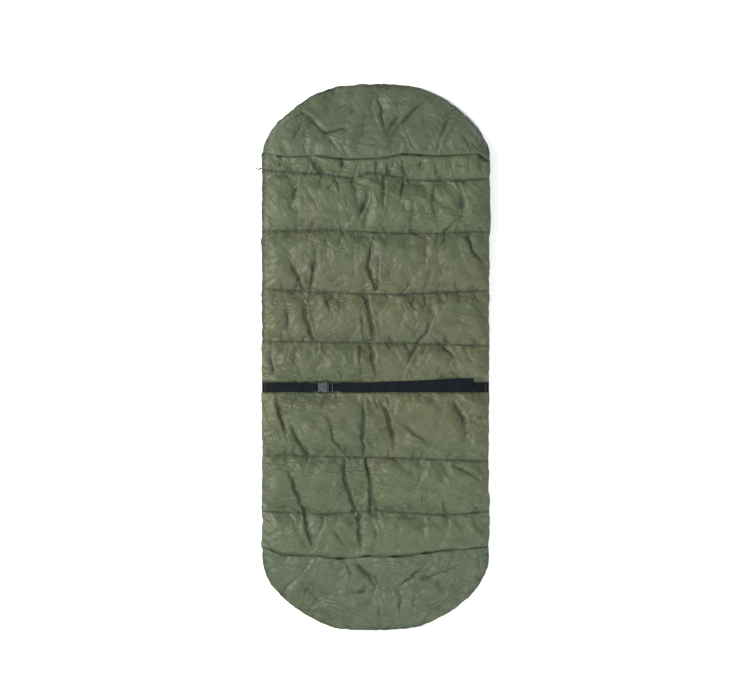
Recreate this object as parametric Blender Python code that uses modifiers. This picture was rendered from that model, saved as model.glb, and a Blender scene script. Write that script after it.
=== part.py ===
"""Quilted bedchair sleeping bag, closed and lying flat on its cover, bedchair side up.

X runs across the bag, Y towards the head, Z up. The origin is the centre of the
resting face. Metres throughout. The base quilt turns about the right long side.
"""

import math

import bmesh
import bpy

# Plan outline: straight sides closed by half an ellipse at each end
HALF_WIDTH = 0.4497
HEAD_Y = 0.796
HEAD_RISE = 0.284
FOOT_Y = -0.776
FOOT_RISE = 0.304
ARC_STEP_DEG = 12.0
ARC_STEPS = 7

# Stack of layers
GAP = 0.0003
SKIN = 0.0012
COVER_THICKNESS = 0.030
COVER_HEM_Y = 0.762
BASE_UNDERSIDE_Z = 0.042
BASE_THICKNESS = 0.034
HEAD_UNDERSIDE_Z = 0.001
HEAD_SLOPE_START_Y = 0.768
HEAD_SLOPE_END_Y = 0.908
HINGE_X = 0.450
HINGE_Z = BASE_UNDERSIDE_Z

# Quilting: seam lines across the bag, and how the filling thins at seams and edges
SEAMS_Y = (-0.622, -0.402, 0.055, 0.252, 0.493, 0.715)
SEAM_RAMP = 0.050
SEAM_FACTOR = 0.75
EDGE_RAMP = 0.045
BASE_EDGE_FACTOR = 0.62
COVER_EDGE_FACTOR = 0.50
COLUMNS = (-1.0, -0.95, -0.88, -0.5, 0.0, 0.5, 0.88, 0.95, 1.0)

# Edge bindings, side gusset and zip
BINDING = 0.003
LAYER_INSET = 0.0035
COVER_BINDING_Z = 0.0155
TAPE = 0.0008
TAPE_INSET = 0.0006
COIL_RADIUS = 0.0010
COVER_TAPE_Z = (0.0158, 0.0258)
COVER_COIL_Z = 0.0271
BASE_COIL_Z = 0.0321
BASE_TAPE_Z = (0.0334, 0.0418)
COIL_INSET = 0.0010
SLIDER_Y = 0.750
SLIDER_LENGTH = 0.012
SLIDER_Z = (0.0235, 0.0357)
PIN_X = -0.4551
PIN_Z = 0.0296
PIN_RADIUS = 0.0007
PIN_LENGTH = 0.0060
EYE_RADIUS = 0.0010
RING_SIDES = 10
PLATE_OFFSETS = (0.0017, 0.0031)
POST_Y = (0.001, 0.005)
LUG_HALF = 0.0015
LUG_REACH = 0.0012
LUG_HEIGHT = 0.0015
LUGS_Z = (("low", 0.0255), ("high", 0.0322))
PULL_THICKNESS = 0.0044
TUBE_RADIUS = 0.0065
TUBE_X = -0.430
TUBE_Z = 0.0300

# Zip pull in plan, measured from its pin: a three-cornered ring with a round eye
PULL_OUTLINE = (
    (0.0019, -0.0003),
    (0.0013, 0.0016),
    (-0.0010, 0.0022),
    (-0.0195, 0.0022),
    (-0.0212, 0.0004),
    (-0.0205, -0.0020),
    (-0.0122, -0.0092),
    (-0.0096, -0.0092),
    (0.0010, -0.0020),
)
PULL_WINDOW = ((-0.0052, -0.0006), (-0.0166, -0.0006), (-0.0109, -0.0060))

# Bedchair pockets
POCKET_RISE = 0.0085
POCKET_EDGE_RISE = 0.0045
HEAD_POCKET_Y = 0.790
FOOT_POCKET_Y = -0.776
HEM_WIDTH = 0.025
HEM_SKIN = 0.0010
HEM_ARC_SINE = 0.08

# Strap: webbing drawn a little narrower where it goes through the buckle
STRAP_Y = -0.122
STRAP_BED = 0.030
WEBBING_WIDTH = 0.038
LACED_WIDTH = 0.0312
LACED_X = -0.203
LACED_HALF = 0.045
LACED_RAMP = 0.030
WEBBING = 0.0014
STRAP_END_X = 0.448
STRAP_START_X = -0.1850
LOOP_END_X = -0.285
TAIL_END_X = 0.387
TAIL_START_X = -0.1500
TAIL_SKEW = 0.016
TACK_HALF = 0.003
TACK_LIFT = (0.0016, 0.0026)
TACK_BEVEL = 0.0003

# Side-release buckle: socket with a waist, plug with two bars and two latch arms
BAR_X = (-0.2365, -0.2315)
HOUSING_END_X = -0.191
BUCKLE_Z = 0.0700
BUCKLE_HEIGHT = 0.011
BUCKLE_HALF_WIDTH = 0.0192
PLATE = 0.0018
BUCKLE_MID_Z = BUCKLE_Z + BUCKLE_HEIGHT / 2
FRAME_INNER = 0.0163
BAR_HALF_HEIGHT = 0.0018
REAR_WALL = (0.0040, 0.0070)
CUT_MARGIN = 0.01
WIDE_CUT = 0.04
HOUSING_OUTLINE = (
    (BAR_X[0], BUCKLE_HALF_WIDTH - 0.0012),
    (-0.2250, BUCKLE_HALF_WIDTH - 0.0004),
    (-0.2210, BUCKLE_HALF_WIDTH - 0.0030),
    (-0.2140, BUCKLE_HALF_WIDTH - 0.0034),
    (-0.2080, BUCKLE_HALF_WIDTH - 0.0008),
    (-0.2040, BUCKLE_HALF_WIDTH),
    (HOUSING_END_X, BUCKLE_HALF_WIDTH),
)
PLUG_END_X = -0.169
PLUG_PLAY = 0.0005
PLUG_INSET_Z = 0.0015
PLUG_FRAME_X = -0.1835
PLUG_NEAR_SLOT = (-0.1835, -0.1785)
PLUG_FAR_SLOT = (-0.1755, -0.1725)
PLUG_BAR_Z = (-0.0023, 0.0013)
TONGUE_END_X = -0.2200
TONGUE_HALF_WIDTH = 0.003
TONGUE_HALF_HEIGHT = 0.0017
TONGUE_ROOT = 0.001
ARM_PIVOT_X = -0.1925
ARM_PIVOT_Y = 0.0102
ARM_HEIGHT = 0.0052
ARM_OUTLINE = (
    (-0.1910, 0.0079),
    (-0.1910, 0.0125),
    (-0.1990, 0.0129),
    (-0.2065, 0.0135),
    (-0.2085, 0.0169),
    (-0.2130, 0.0175),
    (-0.2195, 0.0122),
    (-0.2205, 0.0097),
    (-0.2160, 0.0083),
    (-0.2050, 0.0079),
)

# Side views of the laced webbing as (x, height): the left strap's height is from the
# buckle's middle for the first group and from the strap's own level for the second
SLOT_X = BAR_X[1] + 0.0020
LOOP_UP = (
    (BAR_X[0] - 0.0005, -0.0036),
    (SLOT_X - 0.0008, -0.0030),
    (SLOT_X, -0.0020),
    (SLOT_X, 0.0022),
    (SLOT_X - 0.0008, 0.0032),
    (BAR_X[0] - 0.0005, 0.0032),
)
LOOP_DOWN = ((-0.2480, 0.0048), (-0.2620, WEBBING + GAP + 0.0002), (LOOP_END_X, WEBBING + GAP))
TAIL_OVER = (
    (-0.1812, 0.0013),
    (-0.1802, 0.0023),
    (-0.1750, 0.0023),
    (-0.1740, 0.0013),
    (-0.1740, -0.0023),
    (-0.1730, -0.0033),
    (-0.1520, -0.0033),
)

OLIVE = (0.115, 0.135, 0.080, 1.0)
POCKET_GREEN = (0.095, 0.132, 0.082, 1.0)
LINING_GREEN = (0.070, 0.085, 0.055, 1.0)
WADDING = (0.80, 0.80, 0.78, 1.0)
BLACK = (0.014, 0.016, 0.022, 1.0)
GREY = (0.125, 0.133, 0.140, 1.0)
STEEL = (0.45, 0.45, 0.46, 1.0)


# Scene and materials


def clear_scene():
    for obj in list(bpy.data.objects):
        bpy.data.objects.remove(obj, do_unlink=True)


def new_collection(name, hidden):
    made = bpy.data.collections.new(name)
    made.hide_render = hidden
    bpy.context.scene.collection.children.link(made)
    return made


def material(name, colour, roughness, metallic=0.0):
    made = bpy.data.materials.new(name)
    made.use_nodes = True
    shader = made.node_tree.nodes["Principled BSDF"]
    shader.inputs["Base Color"].default_value = colour
    shader.inputs["Roughness"].default_value = roughness
    shader.inputs["Metallic"].default_value = metallic
    return made


def add_part(name, data, look):
    data.materials.append(look)
    obj = bpy.data.objects.new(name, data)
    parts.objects.link(obj)
    return obj


def mesh_part(name, bm, look):
    """Turn a finished bmesh into a part with its faces pointing out."""
    bmesh.ops.recalc_face_normals(bm, faces=bm.faces)
    data = bpy.data.meshes.new(name)
    bm.to_mesh(data)
    bm.free()
    return add_part(name, data, look)


def modify(obj, kind, **settings):
    modifier = obj.modifiers.new(kind.title(), kind)
    for key, value in settings.items():
        setattr(modifier, key, value)
    return modifier


def move_origin(obj, point):
    """Put an object's origin on its joint axis and leave its shape where it is."""
    for vertex in obj.data.vertices:
        vertex.co.x -= point[0]
        vertex.co.y -= point[1]
        vertex.co.z -= point[2]
    obj.location = point


# Height rules


def smooth(value):
    value = min(max(value, 0.0), 1.0)
    return value * value * (3.0 - 2.0 * value)


def blend(low, high, share):
    return low + (high - low) * share


def edge_distance(x, y):
    """Distance in from the plan outline, near enough for shaping the edge."""
    along = max(y - HEAD_Y, 0.0) / HEAD_RISE - max(FOOT_Y - y, 0.0) / FOOT_RISE
    reach = min(math.hypot(x / HALF_WIDTH, along), 1.0)
    return (1.0 - reach) * blend(HALF_WIDTH, HEAD_RISE, abs(along))


def puff(y):
    """1 in the middle of a quilted channel, SEAM_FACTOR on a seam or under the strap."""
    from_seam = min(abs(y - seam) for seam in SEAMS_Y)
    from_strap = max(abs(y - STRAP_Y) - STRAP_BED, 0.0)
    share = min(from_seam, from_strap, SEAM_RAMP) / SEAM_RAMP
    return blend(SEAM_FACTOR, 1.0, share)


def base_underside(y):
    slope = (y - HEAD_SLOPE_START_Y) / (HEAD_SLOPE_END_Y - HEAD_SLOPE_START_Y)
    return blend(BASE_UNDERSIDE_Z, HEAD_UNDERSIDE_Z, smooth(slope))


def base_top(x, y):
    edge = blend(BASE_EDGE_FACTOR, 1.0, smooth(edge_distance(x, y) / EDGE_RAMP))
    return base_underside(y) + BASE_THICKNESS * puff(y) * edge


def base_edge_top(y):
    return base_underside(y) + BASE_THICKNESS * puff(y) * BASE_EDGE_FACTOR


def cover_top(x, y):
    inward = min(edge_distance(x, y), COVER_HEM_Y - y)
    edge = blend(COVER_EDGE_FACTOR, 1.0, smooth(inward / EDGE_RAMP))
    return COVER_THICKNESS * puff(y) * edge


def pocket_top(x, y):
    """A pocket sheet: drawn straight from its hem to the end, sewn down round the rim."""
    rim = base_edge_top(y) + POCKET_EDGE_RISE
    if y < 0.0:
        span = base_top(0.0, FOOT_POCKET_Y - SEAM_RAMP) + POCKET_RISE
    else:
        start = base_top(0.0, HEAD_POCKET_Y) + POCKET_RISE
        end = HEAD_UNDERSIDE_Z + BASE_THICKNESS + POCKET_RISE
        span = blend(start, end, (y - HEAD_POCKET_Y) / (HEAD_Y + HEAD_RISE - HEAD_POCKET_Y))
    return blend(rim, span, smooth(edge_distance(x, y) / EDGE_RAMP))


# Plan outline


def arc_angles():
    return [math.radians(ARC_STEP_DEG * step) for step in range(ARC_STEPS + 1)]


def arc_row(centre_y, rise, inset, angle):
    """(y, half width) of the outline at an angle round one end."""
    top = math.sin(arc_angles()[-1])
    y = centre_y + math.copysign(abs(rise) - inset, rise) * math.sin(angle) / top
    return y, (HALF_WIDTH - inset) * math.cos(angle)


def head_arc(inset):
    return [arc_row(HEAD_Y, HEAD_RISE, inset, angle) for angle in arc_angles()]


def foot_arc(inset):
    return [arc_row(FOOT_Y, -FOOT_RISE, inset, angle) for angle in arc_angles()]


def channel_rows(low_y, high_y, inset):
    """Rows along the straight sides at each seam and at the foot of its ramps."""
    marks = [seam + side for seam in SEAMS_Y for side in (-SEAM_RAMP, 0.0, SEAM_RAMP)]
    bed = (STRAP_BED, STRAP_BED + SEAM_RAMP)
    marks += [STRAP_Y + side * reach for side in (-1.0, 1.0) for reach in bed]
    inside = sorted(mark for mark in marks if low_y < mark < high_y)
    return [(mark, HALF_WIDTH - inset) for mark in inside]


def base_rows(inset):
    """All rows of the base quilt from the foot end to the head end."""
    foot = list(reversed(foot_arc(inset)))
    slope = [(HEAD_SLOPE_START_Y, HALF_WIDTH - inset)]
    body = channel_rows(FOOT_Y, HEAD_SLOPE_START_Y - GAP, inset)
    return foot + body + slope + head_arc(inset)


def cover_rows(inset, end_y, flat):
    foot = list(reversed(foot_arc(inset)))
    body = [] if flat else channel_rows(FOOT_Y, end_y - SEAM_RAMP / 2, inset)
    shoulder = [(end_y - EDGE_RAMP / 2, HALF_WIDTH - inset)]
    return foot + body + shoulder + [(end_y, HALF_WIDTH - inset)]


def side_marks(low_y, high_y):
    return [row[0] for row in channel_rows(low_y, high_y, 0.0)]


def foot_path(inset, head_end_y):
    """Down the left side, round the foot and up to the right corner, as (x, y)."""
    straight = [head_end_y] + list(reversed(side_marks(FOOT_Y, head_end_y)))
    path = [(-(HALF_WIDTH - inset), y) for y in straight]
    path += [(-half, y) for y, half in foot_arc(inset)]
    path += [(half, y) for y, half in reversed(foot_arc(inset))]
    return path


def open_path(inset, head_end_y):
    """The foot path carried on up the right side."""
    right = side_marks(FOOT_Y, head_end_y) + [head_end_y]
    return foot_path(inset, head_end_y) + [(HALF_WIDTH - inset, y) for y in right]


def whole_path(inset):
    """The closed outline, anticlockwise from the right foot corner."""
    rows = base_rows(inset)
    return [(half, y) for y, half in rows] + [(-half, y) for y, half in reversed(rows)]


def arc_path(rows):
    """Along one end from its right corner to its left, as (x, y)."""
    return [(half, y) for y, half in rows] + [(-half, y) for y, half in reversed(rows)]


# Builders for fabric


def layer(name, rows, low, high, look, columns=COLUMNS):
    """A solid between two height rules: a grid moved to its rows, then extruded down."""
    bm = bmesh.new()
    steps = (len(columns) - 1, len(rows) - 1)
    bmesh.ops.create_grid(bm, x_segments=steps[0], y_segments=steps[1], size=0.5)
    for vertex in bm.verts:
        across = columns[round((vertex.co.x + 0.5) * steps[0])]
        y, half = rows[round((vertex.co.y + 0.5) * steps[1])]
        vertex.co = (across * half, y, high(across * half, y))
    made = bmesh.ops.extrude_face_region(bm, geom=bm.faces[:])["geom"]
    for item in made:
        if isinstance(item, bmesh.types.BMVert):
            item.co.z = low(item.co.x, item.co.y)
    return mesh_part(name, bm, look)


def wall(name, path, low, high, thickness, look, closed=False):
    """An upright band along a plan path, between two height rules of y."""
    bm = bmesh.new()
    bottom = [bm.verts.new((x, y, low(y))) for x, y in path]
    top = [bm.verts.new((x, y, high(y))) for x, y in path]
    spans = len(path) if closed else len(path) - 1
    for index in range(spans):
        following = (index + 1) % len(path)
        bm.faces.new((bottom[index], bottom[following], top[following], top[index]))
    obj = mesh_part(name, bm, look)
    modify(obj, "SOLIDIFY", thickness=thickness, offset=0.0, use_even_offset=True)
    return obj


def ribbon(name, path, look, skew=0.0):
    """Webbing across the bag: a strip along (x, z) points, given its thickness."""
    bm = bmesh.new()
    steps = len(path) - 1
    bmesh.ops.create_grid(bm, x_segments=steps, y_segments=1, size=0.5)
    start = path[0][0]
    for vertex in bm.verts:
        x, z = path[round((vertex.co.x + 0.5) * steps)]
        full = smooth((abs(x - LACED_X) - LACED_HALF) / LACED_RAMP)
        width = blend(LACED_WIDTH, WEBBING_WIDTH, full)
        y = STRAP_Y + width * vertex.co.y + skew * max(x - start, 0.0)
        vertex.co = (x, y, z)
    obj = mesh_part(name, bm, look)
    modify(obj, "SOLIDIFY", thickness=WEBBING, offset=0.0, use_even_offset=True)
    return obj


def bead(name, path, radius, look):
    """A slim rod along a list of points."""
    curve = bpy.data.curves.new(name, "CURVE")
    curve.dimensions = "3D"
    curve.bevel_depth = radius
    curve.bevel_resolution = 0
    curve.use_fill_caps = True
    spline = curve.splines.new("POLY")
    spline.points.add(len(path) - 1)
    for point, (x, y, z) in zip(spline.points, path):
        point.co = (x, y, z, 1.0)
    return add_part(name, curve, look)


# Builders for hard pieces


def outline_plate(name, outlines, middle_z, thickness, look):
    """A flat plate from closed plan outlines; an outline inside another is a hole."""
    curve = bpy.data.curves.new(name, "CURVE")
    curve.dimensions = "2D"
    curve.fill_mode = "BOTH"
    curve.extrude = thickness / 2
    for outline in outlines:
        spline = curve.splines.new("POLY")
        spline.points.add(len(outline) - 1)
        spline.use_cyclic_u = True
        for point, (x, y) in zip(spline.points, outline):
            point.co = (x, y, 0.0, 1.0)
    obj = add_part(name, curve, look)
    obj.location.z = middle_z
    return obj


def as_mesh(obj):
    """Swap a curve object for a welded mesh object of the same name and place."""
    bpy.context.view_layer.update()
    evaluated = obj.evaluated_get(bpy.context.evaluated_depsgraph_get())
    data = bpy.data.meshes.new_from_object(evaluated)
    matrix = obj.matrix_world.copy()
    name = obj.name
    bpy.data.objects.remove(obj, do_unlink=True)
    bm = bmesh.new()
    bm.from_mesh(data)
    bm.transform(matrix)
    bmesh.ops.remove_doubles(bm, verts=bm.verts, dist=0.00001)
    bmesh.ops.recalc_face_normals(bm, faces=bm.faces)
    bm.to_mesh(data)
    bm.free()
    made = bpy.data.objects.new(name, data)
    parts.objects.link(made)
    return made


def block(name, x_range, y_range, z_range, look=None):
    """A box between limits: a part when it has a look, otherwise a hidden cutter."""
    bm = bmesh.new()
    bmesh.ops.create_cube(bm, size=1.0)
    for vertex in bm.verts:
        vertex.co.x = x_range[vertex.co.x > 0.0]
        vertex.co.y = y_range[vertex.co.y > 0.0]
        vertex.co.z = z_range[vertex.co.z > 0.0]
    if look:
        return mesh_part(name, bm, look)
    bmesh.ops.recalc_face_normals(bm, faces=bm.faces)
    data = bpy.data.meshes.new(name)
    bm.to_mesh(data)
    bm.free()
    obj = bpy.data.objects.new(name, data)
    obj.hide_render = True
    obj.display_type = "WIRE"
    cutters.objects.link(obj)
    return obj


def combine(obj, other, operation):
    modify(obj, "BOOLEAN", object=other, operation=operation, solver="EXACT")


def drop_to_cutters(obj):
    """Keep an object only as the tool of a Boolean."""
    parts.objects.unlink(obj)
    cutters.objects.link(obj)
    obj.hide_render = True
    obj.display_type = "WIRE"


def ring_points(centre, radius, count):
    turns = [2.0 * math.pi * step / count for step in range(count)]
    return [(centre[0] + radius * math.cos(t), centre[1] + radius * math.sin(t)) for t in turns]


# Cover quilt: it lies on the floor


def make_cover(fabric, lining, wadding):
    end_y = COVER_HEM_Y - BINDING - LAYER_INSET
    flat = cover_rows(LAYER_INSET, end_y, flat=True)
    puffed = cover_rows(LAYER_INSET, end_y, flat=False)
    layer("cover_shell", flat, lambda x, y: 0.0, lambda x, y: SKIN, fabric)
    layer(
        "cover_filling",
        puffed,
        lambda x, y: SKIN + GAP,
        lambda x, y: cover_top(x, y) - SKIN - GAP,
        wadding,
    )
    layer("cover_lining", puffed, lambda x, y: cover_top(x, y) - SKIN, cover_top, lining)
    wall(
        "cover_edge_binding",
        open_path(BINDING / 2, COVER_HEM_Y),
        lambda y: 0.0,
        lambda y: COVER_BINDING_Z,
        BINDING,
        fabric,
    )
    hem_half = HALF_WIDTH - LAYER_INSET
    hem_y = (end_y + GAP, COVER_HEM_Y)
    hem = block("cover_top_hem", (-hem_half, hem_half), hem_y, (0.0, COVER_BINDING_Z), fabric)
    modify(hem, "BEVEL", width=0.001, segments=2)


def make_side_gusset(fabric):
    """Fabric wall on the hinge side, from the cover's binding up to the hinge line."""
    x = HALF_WIDTH - BINDING / 2
    path = [(x, FOOT_Y + BINDING), (x, COVER_HEM_Y)]
    wall(
        "side_gusset",
        path,
        lambda y: COVER_BINDING_Z + GAP,
        lambda y: HINGE_Z - GAP,
        BINDING,
        fabric,
    )


def make_draught_tube(fabric):
    """Padded tube inside the zip, sewn to the cover."""
    reach = (FOOT_Y + BINDING, COVER_HEM_Y - EDGE_RAMP)
    path = [(TUBE_X, y, TUBE_Z) for y in reach]
    tube = bead("draught_tube", path, TUBE_RADIUS, fabric)
    tube.data.bevel_resolution = 2


# Zip down the left side and round the foot


def zip_line(height):
    path = foot_path(TAPE_INSET + TAPE / 2, COVER_HEM_Y - BINDING)
    return [(x, y, height) for x, y in path]


def make_zip(tape_look, coil_look, metal):
    path = foot_path(TAPE_INSET + TAPE / 2, COVER_HEM_Y)
    for side, limits in (("cover", COVER_TAPE_Z), ("base", BASE_TAPE_Z)):
        low, high = limits
        wall(f"zip_tape_{side}", path, lambda y, z=low: z, lambda y, z=high: z, TAPE, tape_look)
    bead("zip_teeth_cover", zip_line(COVER_COIL_Z), COIL_RADIUS, coil_look)
    bead("zip_teeth_base", zip_line(BASE_COIL_Z), COIL_RADIUS, coil_look)
    centre_x = -(HALF_WIDTH - COIL_INSET)
    stop_x = (centre_x - COIL_RADIUS, centre_x + COIL_RADIUS)
    stop_y = (COVER_HEM_Y - BINDING + GAP, COVER_HEM_Y)
    stop_z = (COVER_COIL_Z - COIL_RADIUS, COVER_COIL_Z + COIL_RADIUS)
    block("zip_top_stop", stop_x, stop_y, stop_z, metal)


def make_zip_slider(metal):
    """Two plates astride the coils, a post between the rows and two lugs with a pin."""
    centre_x = -(HALF_WIDTH - COIL_INSET)
    ends_y = (SLIDER_Y - SLIDER_LENGTH / 2, SLIDER_Y + SLIDER_LENGTH / 2)
    outer = (centre_x - PLATE_OFFSETS[1], centre_x - PLATE_OFFSETS[0])
    inner = (centre_x + PLATE_OFFSETS[0], centre_x + PLATE_OFFSETS[1])
    slider = block("zip_slider", outer, ends_y, SLIDER_Z, metal)
    inside = block("slider_inner_plate", inner, ends_y, SLIDER_Z)
    post_z = (COVER_COIL_Z + COIL_RADIUS + GAP, BASE_COIL_Z - COIL_RADIUS - GAP)
    post_y = (SLIDER_Y + POST_Y[0], SLIDER_Y + POST_Y[1])
    post = block("slider_post", (outer[0] + GAP, inner[1] - GAP), post_y, post_z)
    combine(slider, post, "UNION")
    combine(slider, inside, "UNION")
    lug_y = (SLIDER_Y - LUG_HALF, SLIDER_Y + LUG_HALF)
    lug_x = (PIN_X - LUG_REACH, outer[1] - GAP)
    for label, low in LUGS_Z:
        lug = block(f"slider_lug_{label}", lug_x, lug_y, (low, low + LUG_HEIGHT))
        combine(slider, lug, "UNION")
    ring = ring_points((PIN_X, SLIDER_Y), PIN_RADIUS, RING_SIDES)
    pin = as_mesh(outline_plate("slider_pin", [ring], PIN_Z, PIN_LENGTH, metal))
    drop_to_cutters(pin)
    combine(slider, pin, "UNION")


def make_zip_pull(metal):
    """A three-cornered ring whose eye turns on the slider's pin."""
    outline = [(PIN_X + x, SLIDER_Y + y) for x, y in PULL_OUTLINE]
    window = [(PIN_X + x, SLIDER_Y + y) for x, y in PULL_WINDOW]
    eye = ring_points((PIN_X, SLIDER_Y), EYE_RADIUS, RING_SIDES)
    pull = outline_plate("zip_pull", [outline, window, eye], PIN_Z, PULL_THICKNESS, metal)
    move_origin(as_mesh(pull), (PIN_X, SLIDER_Y, PIN_Z))


# Base quilt, turned up to show the side that lies on the bedchair


def make_base(fabric, lining, wadding):
    rows = base_rows(LAYER_INSET)
    flat_rows = [row for row in rows if row[0] <= FOOT_Y or row[0] >= HEAD_SLOPE_START_Y]
    layer(
        "base_lining",
        flat_rows,
        lambda x, y: base_underside(y),
        lambda x, y: base_underside(y) + SKIN,
        lining,
    )
    layer(
        "base_filling",
        rows,
        lambda x, y: base_underside(y) + SKIN + GAP,
        lambda x, y: base_top(x, y) - SKIN - GAP,
        wadding,
    )
    layer("base_shell", rows, lambda x, y: base_top(x, y) - SKIN, base_top, fabric)
    wall(
        "base_edge_binding",
        whole_path(BINDING / 2),
        lambda y: base_underside(y) + GAP,
        base_edge_top,
        BINDING,
        fabric,
        closed=True,
    )


def make_pocket(side, mouth_y, arc, fabric, binding):
    """A sheet with a folded hem at its mouth and a band that joins it to the rim."""
    inward = 1.0 if mouth_y > 0.0 else -1.0
    hem_end = mouth_y + inward * HEM_WIDTH
    rows = [(mouth_y, HALF_WIDTH), (hem_end, HALF_WIDTH * math.cos(math.asin(HEM_ARC_SINE)))] + arc[1:]
    layer(f"{side}_pocket", rows, lambda x, y: pocket_top(x, y) - SKIN, pocket_top, fabric)
    layer(
        f"{side}_pocket_hem",
        rows[:2],
        lambda x, y: pocket_top(x, y) + GAP,
        lambda x, y: pocket_top(x, y) + GAP + HEM_SKIN,
        fabric,
    )
    inset = BINDING / 2
    band = [(y, max(half - inset, 0.0)) for y, half in rows]
    band = band[:-1] + [(rows[-1][0] - inward * inset, rows[-1][1])]
    wall(
        f"{side}_pocket_rim",
        arc_path(band),
        lambda y: base_edge_top(y) + 2 * GAP,
        lambda y: base_edge_top(y) + POCKET_EDGE_RISE - SKIN - GAP,
        SKIN,
        binding,
    )


# Strap and buckle


def strap_z(x):
    """Middle of webbing lying on the base quilt."""
    return base_top(x, STRAP_Y) + GAP + WEBBING / 2


def edge_points(side):
    """Strap points from the bag's edge in to where the quilt is at full height."""
    inner = HALF_WIDTH - LAYER_INSET
    places = [side * STRAP_END_X] + [side * inner * share for share in (0.95, 0.88)]
    heights = [base_edge_top(STRAP_Y) + GAP + WEBBING / 2] + [strap_z(x) for x in places[1:]]
    return list(zip(places, heights))


def make_straps(webbing, thread):
    level = strap_z(0.0)
    loop = [(-LACED_HALF + LACED_X, level)]
    loop += [(x, BUCKLE_MID_Z + z) for x, z in LOOP_UP]
    loop += [(x, level + z) for x, z in LOOP_DOWN]
    ribbon("strap_left", edge_points(-1.0) + [(LOOP_END_X, level)] + loop, webbing)
    right = [(STRAP_START_X, level), (LACED_X + LACED_HALF + LACED_RAMP, level), (0.0, level)]
    ribbon("strap_right", right + list(reversed(edge_points(1.0))), webbing)
    for label, side in (("left", -1.0), ("right", 1.0)):
        points = edge_points(side)[:2]
        x = (points[0][0] + points[1][0]) / 2
        z = (points[0][1] + points[1][1]) / 2 + WEBBING
        tack = block(
            f"strap_tack_{label}",
            (x - TACK_HALF, x + TACK_HALF),
            (STRAP_Y - WEBBING_WIDTH / 2, STRAP_Y + WEBBING_WIDTH / 2),
            (z + TACK_LIFT[0], z + TACK_LIFT[1]),
            thread,
        )
        modify(tack, "BEVEL", width=TACK_BEVEL, segments=1)


def make_tail(webbing):
    """Webbing that laces through the plug and lies loose along the strap."""
    low = strap_z(0.0) + WEBBING + GAP
    over = [(x, BUCKLE_MID_Z + z) for x, z in TAIL_OVER]
    path = [(TAIL_START_X, low), (-0.1800, low), (-0.1812, low + 0.0012)] + over
    path += [(-0.1420, low + 0.0004), (-0.1300, low), (TAIL_END_X, low)]
    ribbon("strap_tail", path, webbing, TAIL_SKEW / (TAIL_END_X - TAIL_START_X))


def mirror_outline(half):
    """Close a plan outline from its points on one side of the strap's centre line."""
    upper = [(x, STRAP_Y + y) for x, y in half]
    lower = [(x, STRAP_Y - y) for x, y in reversed(half)]
    return upper + lower


def make_housing(plastic):
    """Socket: a webbing bar, a rear wall, and two plates waisted for the latch arms."""
    outline = mirror_outline(HOUSING_OUTLINE)
    plate = outline_plate("buckle_housing", [outline], BUCKLE_MID_Z, BUCKLE_HEIGHT, plastic)
    body = as_mesh(plate)
    top = BUCKLE_Z + BUCKLE_HEIGHT
    slot_y = (STRAP_Y - FRAME_INNER, STRAP_Y + FRAME_INNER)
    outside_y = (STRAP_Y - WIDE_CUT, STRAP_Y + WIDE_CUT)
    wall_x = (BAR_X[1] + REAR_WALL[0], BAR_X[1] + REAR_WALL[1])
    bar_x = (BAR_X[0] - CUT_MARGIN, wall_x[0])
    over_z = (BUCKLE_MID_Z + BAR_HALF_HEIGHT, top + CUT_MARGIN)
    under_z = (BUCKLE_Z - CUT_MARGIN, BUCKLE_MID_Z - BAR_HALF_HEIGHT)
    cavity_x = (wall_x[1], HOUSING_END_X + CUT_MARGIN)
    cuts = {
        "housing_slot": ((BAR_X[1], wall_x[0]), slot_y, (under_z[0], over_z[1])),
        "housing_over_bar": (bar_x, slot_y, over_z),
        "housing_under_bar": (bar_x, slot_y, under_z),
        "housing_cavity": (cavity_x, outside_y, (BUCKLE_Z + PLATE, top - PLATE)),
    }
    for name, limits in cuts.items():
        combine(body, block(name, *limits), "DIFFERENCE")


def make_plug(plastic):
    """Plug: a block with a guide tongue, and a frame with two webbing bars."""
    half = BUCKLE_HALF_WIDTH - PLUG_PLAY
    top = BUCKLE_Z + BUCKLE_HEIGHT
    main_x = (HOUSING_END_X + PLUG_PLAY, PLUG_END_X)
    main_z = (BUCKLE_Z + PLUG_INSET_Z, top - PLUG_INSET_Z)
    plug = block("buckle_plug", main_x, (STRAP_Y - half, STRAP_Y + half), main_z, plastic)
    slot_y = (STRAP_Y - FRAME_INNER, STRAP_Y + FRAME_INNER)
    tall = (BUCKLE_Z - CUT_MARGIN, top + CUT_MARGIN)
    frame_x = (PLUG_FRAME_X, PLUG_END_X + CUT_MARGIN)
    cuts = {
        "plug_near_slot": (PLUG_NEAR_SLOT, slot_y, tall),
        "plug_far_slot": (PLUG_FAR_SLOT, slot_y, tall),
        "plug_over_bars": (frame_x, slot_y, (BUCKLE_MID_Z + PLUG_BAR_Z[1], tall[1])),
        "plug_under_bars": (frame_x, slot_y, (tall[0], BUCKLE_MID_Z + PLUG_BAR_Z[0])),
    }
    for name, limits in cuts.items():
        combine(plug, block(name, *limits), "DIFFERENCE")
    tongue_x = (TONGUE_END_X, main_x[0] + TONGUE_ROOT)
    tongue_y = (STRAP_Y - TONGUE_HALF_WIDTH, STRAP_Y + TONGUE_HALF_WIDTH)
    tongue_z = (BUCKLE_MID_Z - TONGUE_HALF_HEIGHT, BUCKLE_MID_Z + TONGUE_HALF_HEIGHT)
    combine(plug, block("plug_tongue", tongue_x, tongue_y, tongue_z), "UNION")


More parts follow.
